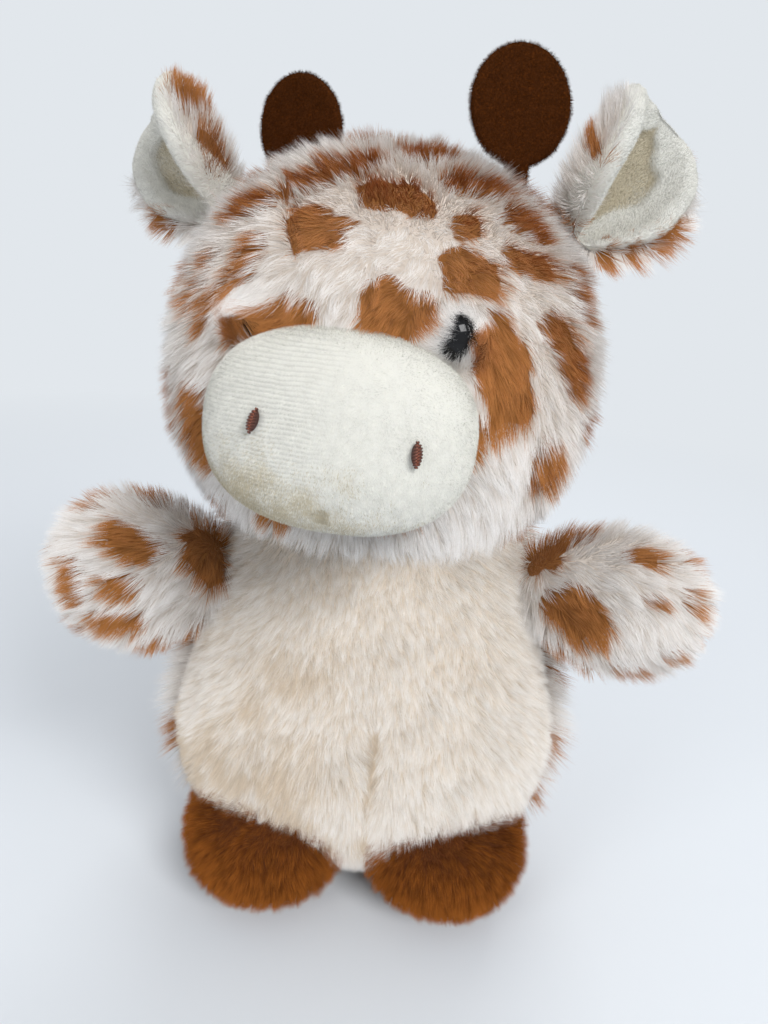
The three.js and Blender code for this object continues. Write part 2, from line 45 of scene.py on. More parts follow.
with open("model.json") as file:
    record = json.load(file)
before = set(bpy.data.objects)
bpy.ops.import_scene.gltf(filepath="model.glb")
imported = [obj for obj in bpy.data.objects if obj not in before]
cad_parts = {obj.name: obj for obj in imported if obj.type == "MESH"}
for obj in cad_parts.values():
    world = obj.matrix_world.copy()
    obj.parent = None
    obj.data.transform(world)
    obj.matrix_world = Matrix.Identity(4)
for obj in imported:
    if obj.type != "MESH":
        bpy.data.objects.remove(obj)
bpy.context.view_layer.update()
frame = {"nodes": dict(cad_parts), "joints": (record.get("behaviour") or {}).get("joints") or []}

MM = 0.001
JOINTS = {joint["name"]: Vector(joint["pos_m"]) for joint in frame["joints"]}
NECK_RING = JOINTS["head_turn"]
SIDES = (("left", 1), ("right", -1))

# The photograph's frame and the place that it was taken from

PHOTO_WIDTH = 768
PHOTO_HEIGHT = 1024
PHOTO_FOCAL = 769.0
CAMERA_FROM_TOY = Vector((-2.103, -173.038, 157.496)) * MM
CAMERA_AZIMUTH = -0.9057
CAMERA_TILT = 19.661
CAMERA_ROLL = 4.88
FILM_HEIGHT = 36.0

# Pile: how far the fabric's backing lies inside the solids, which reach to the tips

FUR_DEPTH = 4.6 * MM
BELLY_DEPTH = 3.4 * MM
FOOT_DEPTH = 3.2 * MM
NAP_DEPTH = 0.5 * MM
NECK_CLEARANCE = 0.2 * MM
LOWEST_FIBRE = 0.05 * MM

# Body

BODY_WIDTH = 102 * MM
BODY_DEPTH = 78 * MM
BODY_WIDEST_HEIGHT = 47.5 * MM
BODY_RISE = 100 * MM
BODY_DROP = 48 * MM
BODY_LEAN = 7
BODY_CENTRE_Y = 3.5 * MM
BELLY_SEAM_Y = -11 * MM

# Head, turned and tipped up on its neck ring

HEAD_WIDTH = 96 * MM
HEAD_DEPTH = 87.4 * MM
HEAD_HEIGHT = 94.2 * MM
HEAD_CENTRE = Vector((-2.4, -0.85, 130.1)) * MM
HEAD_TURN = -9.9
HEAD_TIP = -6.7
HEAD_LEAN = 0.9
HEAD_SEAM_Y = 2 * MM

MUZZLE_WIDTH = 49.8 * MM
MUZZLE_HEIGHT = 37 * MM
MUZZLE_BULGE = 17 * MM
MUZZLE_ROOT = 12 * MM
MUZZLE_FULLNESS = 2.4
MUZZLE_CENTRE = Vector((0, -36.8, -10.4)) * MM

NOSTRIL_SPREAD = {"left": 15.8 * MM, "right": 11 * MM}
NOSTRIL_RAISE = {"left": -0.2 * MM, "right": 1.8 * MM}
NOSTRIL_TURN = {"left": -4, "right": 15}
NOSTRIL_WIDTH = 2.3 * MM
NOSTRIL_HEIGHT = 4.8 * MM
NOSTRIL_PAD = 0.7 * MM

EYE_SPREAD = 19.4 * MM
EYE_HEIGHT = 9 * MM
EYE_RADIUS = 4.5 * MM
EYE_DOME = 4 * MM
EYE_STANDS_OUT = 0.4 * MM
SHANK_RADIUS = 1.5 * MM
SHANK_END = -8.2 * MM

# Horns and ears

HORN_WIDTH = 21 * MM
HORN_OVAL_HEIGHT = 23.5 * MM
HORN_FELT = 2.2 * MM
HORN_STEM_WIDTH = 4.4 * MM
HORN_STEM_LENGTH = 2.6 * MM
HORN_LEAN_IN = {"left": 5, "right": -14.5}
HORN_LEAN_BACK = {"left": 4, "right": -5}
HORN_TURN_OUT = {"left": 18, "right": 14.5}

EAR_LENGTH = 26 * MM
EAR_OUTER_FLAP = 13 * MM
EAR_INNER_FLAP = 19.5 * MM
EAR_LINING_REACH = 1.6 * MM
EAR_FUR_REACH = -0.6 * MM
EAR_WIDEST_AT = 13 * MM
EAR_TIP_CUT = 0.14 * MM
EAR_TIP_FULLNESS = 3
EAR_ROOT_SHARE = 0.3
EAR_ROOT_CURL = 140
EAR_OUTER_FLAP_CURL = 48
EAR_INNER_FLAP_CURL = 100
EAR_RAISE = {"left": 59, "right": 50}
EAR_ROLL_OUT = 28
EAR_RIM_RADIUS = 2.2 * MM
EAR_RIM_CENTRE = 1.0 * MM
EAR_LINING_BACK = 2.0 * MM
EAR_FLAP_BAND = {"left": 4.4 * MM, "right": 2.0 * MM}
EAR_TIP_BAND = 2.4 * MM
EAR_BACKING = (1.6 * MM, 2.6 * MM)

# Feet, arms and tail

FOOT_WIDTH = 43 * MM
FOOT_LENGTH = 46 * MM
FOOT_HEIGHT = 33.5 * MM
FOOT_SPREAD = 22 * MM
FOOT_CENTRE_Y = -15 * MM
FOOT_CENTRE_Z = 16.25 * MM

ARM_LENGTH = 48.5 * MM
ARM_HEIGHT = {"left": 38.5 * MM, "right": 42 * MM}
ARM_DEPTH = 28 * MM
ARM_SINK = 6 * MM
ARM_DROOP = {"left": 10, "right": 11}
ARM_FORWARD = {"left": 6, "right": -8}
ARM_TAPER = 0.26

TAIL_DIAMETER = 9 * MM
TAIL_LENGTH = 24 * MM
TAIL_TILT = 10
TUFT_DIAMETER = 13 * MM
TUFT_RISE = 12 * MM
TUFT_DROP = 8 * MM
TUFT_TAPER = 0.4


def linear(hex_colour):
    """A hex sRGB colour as Blender's linear colour."""
    values = [int(hex_colour[i : i + 2], 16) / 255 for i in (1, 3, 5)]
    return tuple(v / 12.92 if v <= 0.04045 else ((v + 0.055) / 1.055) ** 2.4 for v in values)


def turned(*steps):
    """A rotation put together from (axis, degrees) steps."""
    result = Matrix.Identity(4)
    for axis, degrees in steps:
        result = result @ Matrix.Rotation(math.radians(degrees), 4, axis)
    return result


def placed(place, rotation):
    return Matrix.Translation(place) @ rotation


def moved(matrix, points):
    grid = np.array(matrix)
    return points @ grid[:3, :3].T + grid[:3, 3]


def unit(vectors):
    return vectors / np.maximum(np.linalg.norm(vectors, axis=-1, keepdims=True), 1e-12)


def along_surface(vectors, normals):
    """The part of each vector that lies in the surface."""
    return vectors - normals * np.sum(vectors * normals, axis=1, keepdims=True)


def signed_power(values, power):
    return np.sign(values) * np.abs(values) ** power


def blend_in(low, high, values):
    """0 below low and 1 above high, and smooth between them."""
    share = np.clip((values - low) / (high - low), 0, 1)
    return share * share * (3 - 2 * share)


def hump(distance, reach):
    return np.exp(-((distance / reach) ** 2))


def rough(points, size, seed=0):
    """Smooth noise from -1 to 1 whose lumps are about as large as size."""
    offset = Vector((seed * 7.3, seed * 3.1, seed * 5.7))
    return np.array([noise.noise(Vector(p) / size + offset) for p in points])


SHIFT = Vector((NECK_RING.x - HEAD_CENTRE.x, NECK_RING.y - HEAD_CENTRE.y, 0))
HEAD_TURNED = turned(("Z", HEAD_TURN), ("Y", HEAD_LEAN), ("X", HEAD_TIP))
HEAD_PLACE = placed(HEAD_CENTRE + SHIFT, HEAD_TURNED)
CAMERA_PLACE = SHIFT + CAMERA_FROM_TOY
CAMERA_TURNED = turned(("Z", CAMERA_AZIMUTH), ("X", 90 - CAMERA_TILT), ("Z", CAMERA_ROLL))


def sight_line(x, y):
    """The direction from the camera through a pixel of the photograph."""
    across = (x - PHOTO_WIDTH / 2) / PHOTO_FOCAL
    up = (PHOTO_HEIGHT / 2 - y) / PHOTO_FOCAL
    return (CAMERA_TURNED.to_3x3() @ Vector((across, up, -1))).normalized()


# Stuffed forms


@dataclass
class StuffedForm:
    """A rounded solid with its poles on Z, fuller than an ellipsoid where fullness is over 2."""

    width: float
    depth: float
    rise: float
    drop: float
    place: Matrix
    top: float = 2.3
    base: float = 2.3
    plan: float = 2.1
    taper: float = 0.0

    def points(self, directions, inset=0.0):
        x, y, z = directions.T
        fullness = np.where(z > 0, self.top, self.base)
        level = signed_power(z, 2 / fullness)
        spread = np.hypot(x, y) ** (2 / fullness) * (1 - self.taper * np.maximum(level, 0))
        angle = np.arctan2(y, x)
        local = np.stack(
            [
                (self.width / 2 - inset) * spread * signed_power(np.cos(angle), 2 / self.plan),
                (self.depth / 2 - inset) * spread * signed_power(np.sin(angle), 2 / self.plan),
                level * np.where(level > 0, self.rise - inset, self.drop - inset),
            ],
            axis=1,
        )
        return moved(self.place, local)


HEAD_FORM = StuffedForm(
    HEAD_WIDTH, HEAD_DEPTH, HEAD_HEIGHT / 2, HEAD_HEIGHT / 2, HEAD_PLACE, top=2.1, base=2.2, plan=2.1
)
BODY_FORM = StuffedForm(
    BODY_WIDTH,
    BODY_DEPTH,
    BODY_RISE,
    BODY_DROP,
    placed(SHIFT + Vector((0, BODY_CENTRE_Y, BODY_WIDEST_HEIGHT)), turned(("X", BODY_LEAN))),
    top=2.3,
    base=2.7,
    plan=2.4,
    taper=0.5,
)
MUZZLE_FORM = StuffedForm(
    MUZZLE_WIDTH,
    MUZZLE_HEIGHT,
    MUZZLE_BULGE,
    MUZZLE_ROOT,
    HEAD_PLACE @ placed(MUZZLE_CENTRE, turned(("X", 90))),
    top=MUZZLE_FULLNESS,
    base=MUZZLE_FULLNESS,
    plan=MUZZLE_FULLNESS,
)


def foot_form(side):
    centre = SHIFT + Vector((side * FOOT_SPREAD, FOOT_CENTRE_Y, FOOT_CENTRE_Z))
    half = FOOT_HEIGHT / 2
    return StuffedForm(
        FOOT_WIDTH, FOOT_LENGTH, half, half, Matrix.Translation(centre), top=2.2, base=2.4, plan=2.2
    )


def arm_form(name, side):
    lie = turned(("Z", -side * ARM_FORWARD[name]), ("Y", -side * (90 - ARM_DROOP[name])))
    root = JOINTS[f"arm_{name}_swing"]
    half = ARM_LENGTH / 2
    middle = Matrix.Translation(Vector((0, 0, ARM_SINK - half)))
    place = placed(root, lie) @ middle
    return StuffedForm(ARM_HEIGHT[name], ARM_DEPTH, half, half, place, taper=ARM_TAPER)


@lru_cache
def ball(subdivisions):
    """Directions and faces of an evenly divided ball."""
    grid = bmesh.new()
    bmesh.ops.create_icosphere(grid, subdivisions=subdivisions, radius=1)
    points = np.array([v.co for v in grid.verts])
    faces = np.array([[v.index for v in f.verts] for f in grid.faces])
    grid.free()
    return unit(points), faces


def normals_of(points, faces):
    corners = points[faces]
    across = np.cross(corners[:, 1] - corners[:, 0], corners[:, 2] - corners[:, 0])
    result = np.zeros_like(points)
    for corner in range(faces.shape[1]):
        np.add.at(result, faces[:, corner], across)
    return unit(result)


def skin_of(points, faces):
    return BVHTree.FromPolygons(points.tolist(), faces.tolist())


def tube(rings):
    """Points and triangles of a closed skin over rings of equal length, with a cap at each end."""
    size = len(rings[0])
    ends = [rings[0].mean(axis=0), rings[-1].mean(axis=0)]
    points = np.concatenate([*rings, ends])
    here = np.arange(size)
    after = (here + 1) % size
    faces = []
    for row in range(len(rings) - 1):
        low, high = row * size, (row + 1) * size
        faces.append(np.stack([low + here, low + after, high + after], axis=1))
        faces.append(np.stack([low + here, high + after, high + here], axis=1))
    last = (len(rings) - 1) * size
    first_end = np.full(size, len(points) - 2)
    last_end = np.full(size, len(points) - 1)
    faces.append(np.stack([first_end, after, here], axis=1))
    faces.append(np.stack([last_end, last + here, last + after], axis=1))
    faces = np.concatenate(faces)
    corners = points[faces]
    volume = np.sum(corners[:, 0] * np.cross(corners[:, 1], corners[:, 2]))
    return points, faces if volume > 0 else faces[:, ::-1]


def spun(profile, place, outline=None, segments=48):
    """A closed form of (reach, height) rings about Z. The outline gives the reach at each angle."""
    angle = np.arange(segments) * 2 * np.pi / segments
    reach = np.ones(segments) if outline is None else outline(angle)
    rings = []
    for share, height in profile:
        flat = share * reach
        level = np.full(segments, height)
        rings.append(np.stack([flat * np.cos(angle), flat * np.sin(angle), level], axis=1))
    points, faces = tube(rings)
    return moved(place, points), faces


# Spots of the printed fur


@dataclass
class Spot:
    centre: np.ndarray
    length_axis: np.ndarray
    width_axis: np.ndarray
    half_length: float
    half_width: float


def make_spot(centre, normal, toward, length, width):
    normal = np.array(normal)
    length_axis = unit(toward - normal * (toward @ normal))
    width_axis = np.cross(normal, length_axis)
    return Spot(np.array(centre), length_axis, width_axis, length / 2, width / 2)


def seen_place(skin, x, y):
    """Where the sight line through a pixel meets a skin, and the skin's normal there."""
    place, normal, _, _ = skin.ray_cast(CAMERA_PLACE, sight_line(x, y))
    return place, normal


def seen_path(skin, pixels):
    return [np.array(seen_place(skin, x, y)[0]) for x, y in pixels]


# Pale fibres lean over a spot's edge, so a spot is dyed this many mm larger than it looks
EDGE_LOST = 0.3

# How far a long fibre's tip lies from its root along the nap. A spot is dyed where its tips show
TIP_DRIFT = 3.4 * MM


def seen_spots(skin, rows):
    """Spots that the photograph shows. A row is a pixel, the length and width in mm, and the tilt."""
    spots = []
    for x, y, length, width, tilt in rows:
        place, normal = seen_place(skin, x, y)
        if place is None:
            continue
        angle = math.radians(tilt)
        beside = sight_line(x + math.cos(angle), y - math.sin(angle))
        step = beside * ((place - CAMERA_PLACE).dot(normal) / beside.dot(normal))
        toward = np.array(CAMERA_PLACE + step - place)
        size = ((length + EDGE_LOST) * MM, (width + EDGE_LOST) * MM)
        spots.append(make_spot(place, normal, toward, *size))
    return spots


SPOT_LENGTH = (9.5 * MM, 16 * MM)
SPOT_WIDTH = (6.5 * MM, 9.5 * MM)
SPOT_TRIES = 900
UNSEEN_BELOW = 0.12


def hidden_spots(points, normals, spots, spacing, seed, shrink=1.0):
    """Spots strewn where the photograph doesn't show the fur, never closer than spacing to another."""
    draw = np.random.default_rng(seed)
    to_camera = unit(np.array(CAMERA_PLACE) - points)
    unseen = np.flatnonzero(np.sum(to_camera * normals, axis=1) < UNSEEN_BELOW)
    found = list(spots)
    for index in draw.permutation(unseen)[:SPOT_TRIES]:
        centre = points[index]
        near = [np.linalg.norm(s.centre - centre) - 0.5 * s.half_length for s in found]
        if near and min(near) < spacing:
            continue
        toward = draw.normal(size=3)
        length = draw.uniform(*SPOT_LENGTH) * shrink
        width = draw.uniform(*SPOT_WIDTH) * shrink
        found.append(make_spot(centre, normals[index], toward, length, width))
    return found


SPOT_SQUARENESS = 2.5
SPOT_RAGGEDNESS = 0.34
SPOT_RAGGED_SIZE = 4.5 * MM
SPOT_EDGE = 0.12

# Beyond this many half lengths a point can't be in a spot
SPOT_FARTHEST = 1.8


def spottiness(points, spots):
    """0 on the pale ground and 1 in a spot."""
    ragged = rough(points, SPOT_RAGGED_SIZE, 1) * SPOT_RAGGEDNESS
    result = np.zeros(len(points))
    for spot in spots:
        away = points - spot.centre
        farthest = SPOT_FARTHEST * spot.half_length + SPOT_RAGGED_SIZE
        close = np.flatnonzero(np.linalg.norm(away, axis=1) < farthest)
        if not len(close):
            continue
        length = np.abs(away[close] @ spot.length_axis) / spot.half_length
        width = np.abs(away[close] @ spot.width_axis) / spot.half_width
        ring = (length**SPOT_SQUARENESS + width**SPOT_SQUARENESS) ** (1 / SPOT_SQUARENESS)
        inside = 1 - blend_in(1 - SPOT_EDGE, 1 + SPOT_EDGE, ring + ragged[close])
        result[close] = np.maximum(result[close], inside)
    return result


def nearest_on_path(points, path):
    """Each point's distance to a path of corners, and the direction away from the path."""
    distance = np.full(len(points), np.inf)
    away = np.zeros_like(points)
    for start, end in zip(path[:-1], path[1:]):
        span = end - start
        share = np.clip((points - start) @ span / (span @ span), 0, 1)
        step = points - (start + share[:, None] * span)
        gap = np.linalg.norm(step, axis=1)
        closer = gap < distance
        distance[closer] = gap[closer]
        away[closer] = step[closer]
    return distance, unit(away)


# Nodes

MATH = "ShaderNodeMath"
VECTOR = "ShaderNodeVectorMath"
COMBINE = "ShaderNodeCombineXYZ"
SEPARATE = "ShaderNodeSeparateXYZ"
NAMED = "GeometryNodeInputNamedAttribute"
STORE = "GeometryNodeStoreNamedAttribute"
RANDOM = "FunctionNodeRandomValue"
MOVE = "GeometryNodeSetPosition"
REALIZE = "GeometryNodeRealizeInstances"
PRINCIPLED = "ShaderNodeBsdfPrincipled"
ATTRIBUTE = "ShaderNodeAttribute"
NOISE = "ShaderNodeTexNoise"
RAMP = "ShaderNodeValToRGB"
BUMP = "ShaderNodeBump"


def add(tree, kind, links=(), **settings):
    """Adds a node with its settings, and sets or links its inputs, by name or in order of those in use.

    A node given for an input stands for its first output in use.
    """
    made = tree.nodes.new(kind)
    for key, value in settings.items():
        setattr(made, key, value)
    sockets = [socket for socket in made.inputs if socket.enabled]
    if isinstance(links, dict):
        sockets = [next(socket for socket in sockets if socket.name == key) for key in links]
        links = links.values()
    for socket, value in zip(sockets, links):
        if isinstance(value, bpy.types.Node):
            value = next(output for output in value.outputs if output.enabled)
        if isinstance(value, bpy.types.NodeSocket):
            tree.links.new(value, socket)
        else:
            socket.default_value = value
    return made


SOCKET_KINDS = {float: "NodeSocketFloat", int: "NodeSocketInt", type(None): "NodeSocketMaterial"}


def new_tree(name, inputs):
    """A Geometry Nodes tree with named inputs, and its input and output nodes."""
    tree = bpy.data.node_groups.new(name, "GeometryNodeTree")
    face = tree.interface
    face.new_socket("Geometry", in_out="INPUT", socket_type="NodeSocketGeometry")
    for label, value in inputs.items():
        kind = SOCKET_KINDS[type(value)]
        socket = face.new_socket(label, in_out="INPUT", socket_type=kind)
        if value is not None:
            socket.default_value = value
    face.new_socket("Geometry", in_out="OUTPUT", socket_type="NodeSocketGeometry")
    return tree, add(tree, "NodeGroupInput").outputs, add(tree, "NodeGroupOutput")


# Pile: a field of tapered fibres that lean with the fabric's nap

PILE_INPUTS = {
    "Density": 7e6,
    "Length": 6 * MM,
    "Width": 0.13 * MM,
    "Lean": 0.6,
    "Bend": 0.25,
    "Stray": 0.14,
    "Tuft size": 2.4 * MM,
    "Clump": 0.42,
    "Fan": 0.38,
    "Relief": 1.25,
    "Shape": 0.35,
    "Floor": LOWEST_FIBRE,
    "Steps": 2,
    "Seed": 1,
    "Material": None,
}
FIBRE_VECTORS = ("rise", "bend", "across", "facing")
USED_ATTRIBUTES = (*FIBRE_VECTORS, "side", "comb", "cover", "pile", "tone", "fold")
EVERY_WAY = {"Min": (-1, -1, -1), "Max": (1, 1, 1)}
LENGTH_RANGE = {"Min": 0.8, "Max": 1.1}
DYE_RANGE = {"Min": 0.25, "Max": 0.75}
DEPTH_RANGE = {"Min": 0.0, "Max": 0.2}
TUFT_RADIUS_SHARE = 1.6
CALMED_PER_METRE = -0.5 / MM
LEAST_PARTING = 0.1
TUFT_LENGTHENS = 0.25
TUFT_SHORTEST = 0.85
FIBRE_TWIST = 0.4
# Painted shade: how much darker a fibre is at its tuft's edge
TUFT_EDGE_PAINTED_SHADE = 0.2

# The shades that stand for each of a fibre's two dyes, from its lightest to its darkest
FIRST_DYE = (0.0, 0.4)
SECOND_DYE = (0.55, 0.95)

# A fibre is this wide in the colour map, where its shade alone would make it a line
MAP_WIDTH = 0.01


def pile_tree():
    """Grows fibres on a mesh that carries comb, pile, tone and cover, and fold round the eyes."""
    tree, given, shown = new_tree("Pile", PILE_INPUTS)
    node = partial(add, tree)

    # Roots
    cover = node(MATH, (given["Density"], node(NAMED, ["cover"])), operation="MULTIPLY")
    links = {"Mesh": given["Geometry"], "Density": cover, "Seed": given["Seed"]}
    roots = node("GeometryNodeDistributePointsOnFaces", links, distribute_method="RANDOM")
    normal = roots.outputs["Normal"]
    comb = node(NAMED, ["comb"], data_type="FLOAT_VECTOR")

    # Tufts: each has a middle, an edge, and a length and lean of its own
    place = node("GeometryNodeInputPosition")
    cells = node(MATH, (1.0, given["Tuft size"]), operation="DIVIDE")
    tuft = node("ShaderNodeTexVoronoi", {"Vector": place, "Scale": cells}).outputs
    inward = node(VECTOR, (tuft["Position"], place), operation="SUBTRACT")
    height = node(VECTOR, (inward, normal), operation="DOT_PRODUCT")
    lift = node(VECTOR, (normal, height), operation="SCALE")
    inward = node(VECTOR, (inward, lift), operation="SUBTRACT")
    bulge = node(VECTOR, (inward, cells), operation="SCALE")
    edge = node(VECTOR, [bulge], operation="LENGTH")
    edge = node(MATH, (edge, TUFT_RADIUS_SHARE), operation="MULTIPLY")
    edge = node(MATH, (edge, 1.0), operation="MINIMUM")
    tall = node(SEPARATE, [tuft["Color"]]).outputs["Y"]

    # Where fibres fold over an eye, the tufts hardly part
    fold = node(NAMED, ["fold"], data_type="FLOAT_VECTOR")
    calm = node(VECTOR, [fold], operation="LENGTH")
    calm = node(MATH, (calm, CALMED_PER_METRE, 1.0), operation="MULTIPLY_ADD")
    calm = node(MATH, (calm, LEAST_PARTING), operation="MAXIMUM")
    fan = node(VECTOR, (tuft["Color"], (0.5, 0.5, 0.5)), operation="SUBTRACT")
    fan = node(VECTOR, (fan, given["Fan"]), operation="SCALE")
    fan = node(VECTOR, (fan, calm), operation="SCALE")

    # Direction at the root
    stray = node(RANDOM, {**EVERY_WAY, "Seed": 11}, data_type="FLOAT_VECTOR")
    stray = node(VECTOR, (stray, given["Stray"]), operation="SCALE")
    lean = node(VECTOR, (comb, given["Lean"]), operation="SCALE")
    leaning = node(VECTOR, (node(VECTOR, (normal, lean)), node(VECTOR, (stray, fan))))
    length = node(MATH, (given["Length"], node(NAMED, ["pile"])), operation="MULTIPLY")
    length = node(MATH, (length, node(RANDOM, {**LENGTH_RANGE, "Seed": 12})), operation="MULTIPLY")
    tall = node(MATH, (tall, TUFT_LENGTHENS, TUFT_SHORTEST), operation="MULTIPLY_ADD")
    length = node(MATH, (length, tall), operation="MULTIPLY")
    rise = node(VECTOR, [leaning], operation="NORMALIZE")
    rise = node(VECTOR, (rise, length), operation="SCALE")

    # The tip bends along the nap, towards the middle of its own tuft, and with the fold
    bend = node(MATH, (length, given["Bend"]), operation="MULTIPLY")
    bend = node(VECTOR, (comb, bend), operation="SCALE")
    pull = node(VECTOR, (inward, given["Clump"]), operation="SCALE")
    pull = node(VECTOR, (pull, calm), operation="SCALE")
    bend = node(VECTOR, (node(VECTOR, (bend, pull)), fold))

    # The broad side faces outward, with some twist, and takes light as part of a rounded tuft
    twist = node(RANDOM, {**EVERY_WAY, "Seed": 13}, data_type="FLOAT_VECTOR")
    twist = node(VECTOR, (twist, FIBRE_TWIST), operation="SCALE")
    across = node(VECTOR, (rise, node(VECTOR, (normal, twist))), operation="CROSS_PRODUCT")
    across = node(VECTOR, [across], operation="NORMALIZE")
    across = node(VECTOR, (across, given["Width"]), operation="SCALE")
    facing = node(VECTOR, (bulge, given["Relief"]), operation="SCALE")
    facing = node(VECTOR, (normal, facing), operation="SUBTRACT")
    facing = node(VECTOR, [facing], operation="NORMALIZE")

    # Each fibre takes one dye or the other, so a spot's edge is ragged. It is painted darker at a tuft's
    # edge, as shade between the tufts
    dyed = node("FunctionNodeCompare", (node(NAMED, ["tone"]), node(RANDOM, {**DYE_RANGE, "Seed": 15})))
    depth = node(RANDOM, {**DEPTH_RANGE, "Seed": 14})
    depth = node(MATH, (edge, TUFT_EDGE_PAINTED_SHADE, depth), operation="MULTIPLY_ADD")
    shade = node(MATH, (dyed, SECOND_DYE[0], depth), operation="MULTIPLY_ADD")
    points = node(STORE, {"Geometry": roots, "Name": "shade", "Value": shade})
    for name, value in zip(FIBRE_VECTORS, (rise, bend, across, facing)):
        links = {"Geometry": points, "Name": name, "Value": value}
        points = node(STORE, links, data_type="FLOAT_VECTOR")

    # One flat fibre, a unit long and wide, with its tip drawn together
    rows = node(MATH, (given["Steps"], 1.0))
    strip = node("GeometryNodeMeshGrid", (1.0, 1.0, 2, rows))
    spot = node(SEPARATE, [place]).outputs
    at_tip = node(MATH, (spot["Y"], 0.499), operation="GREATER_THAN")
    strip = node(MOVE, (strip, at_tip, node(COMBINE, {"Y": 0.5})))
    strip = node("GeometryNodeMergeByDistance", {"Geometry": strip, "Distance": 0.001})
    along = node(MATH, (spot["Y"], 0.5))
    strip = node(STORE, {"Geometry": strip, "Name": "along", "Value": along})
    strip = node(STORE, {"Geometry": strip, "Name": "side", "Value": spot["X"]})

    # Every copy starts as a point at its root and is then drawn out along its own curve
    links = {"Points": points, "Instance": strip, "Scale": (0, 0, 0)}
    grown = node(REALIZE, [node("GeometryNodeInstanceOnPoints", links)])
    part = node(NAMED, ["along"])
    squared = node(MATH, (part, part), operation="MULTIPLY")
    taper = node(MATH, (1.0, squared), operation="SUBTRACT")
    taper = node(MATH, (node(NAMED, ["side"]), taper), operation="MULTIPLY")
    rise, bend, across, facing = (node(NAMED, [name], data_type="FLOAT_VECTOR") for name in FIBRE_VECTORS)
    risen = node(VECTOR, (rise, part), operation="SCALE")
    bent = node(VECTOR, (bend, squared), operation="SCALE")
    beside = node(VECTOR, (across, taper), operation="SCALE")
    offset = node(VECTOR, (node(VECTOR, (risen, bent)), beside))
    grown = node(MOVE, {"Geometry": grown, "Offset": offset})
    above = node(MATH, (spot["Z"], given["Floor"]), operation="MAXIMUM")
    grown = node(MOVE, {"Geometry": grown, "Position": node(COMBINE, (spot["X"], spot["Y"], above))})

    # A round fibre among others takes light from the whole coat's side, and some from its own
    ahead = node(MATH, (part, 2.0), operation="MULTIPLY")
    ahead = node(VECTOR, (bend, ahead), operation="SCALE")
    ahead = node(VECTOR, (rise, ahead))
    own = node(VECTOR, (facing, ahead), operation="PROJECT")
    own = node(VECTOR, (facing, own), operation="SUBTRACT")
    own = node(VECTOR, [own], operation="NORMALIZE")
    own = node(VECTOR, (own, given["Shape"]), operation="SCALE")
    rest = node(MATH, (1.0, given["Shape"]), operation="SUBTRACT")
    coat = node(VECTOR, (facing, rest), operation="SCALE")
    soft = node(VECTOR, [node(VECTOR, (own, coat))], operation="NORMALIZE")
    links = {"Mesh": grown, "Custom Normal": soft}
    grown = node("GeometryNodeSetMeshNormal", links, mode="FREE", domain="POINT")

    # The colour map runs over the shade and from root to tip
    links = (node(NAMED, ["side"]), MAP_WIDTH, node(NAMED, ["shade"]))
    over = node(MATH, links, operation="MULTIPLY_ADD")
    links = {"Geometry": grown, "Name": "OFBake", "Value": node(COMBINE, (over, part))}
    grown = node(STORE, links, data_type="FLOAT2", domain="CORNER")
    for name in USED_ATTRIBUTES:
        grown = node("GeometryNodeRemoveAttribute", {"Geometry": grown, "Name": name})
    grown = node("GeometryNodeSetMaterial", {"Geometry": grown, "Material": given["Material"]})
    tree.links.new(grown.outputs[0], shown.inputs[0])
    return tree


# Satin stitches: two columns of short threads that meet in the middle of an oval

STITCH_INPUTS = {
    "Rows": 9,
    "Width": NOSTRIL_WIDTH * 0.8,
    "Height": NOSTRIL_HEIGHT * 0.9,
    "Thread": 0.44 * MM,
    "Slant": math.radians(24),
    "Stands out": 0.55 * MM,
    "Material": None,
}
SLANT_RANGE = {"Min": -0.08, "Max": 0.08}

# Shares of the oval's height and width: how far its rows reach, and each thread's place and length
ROWS_REACH = 0.47
THREAD_ASIDE = 0.24
THREAD_LENGTH = 0.58


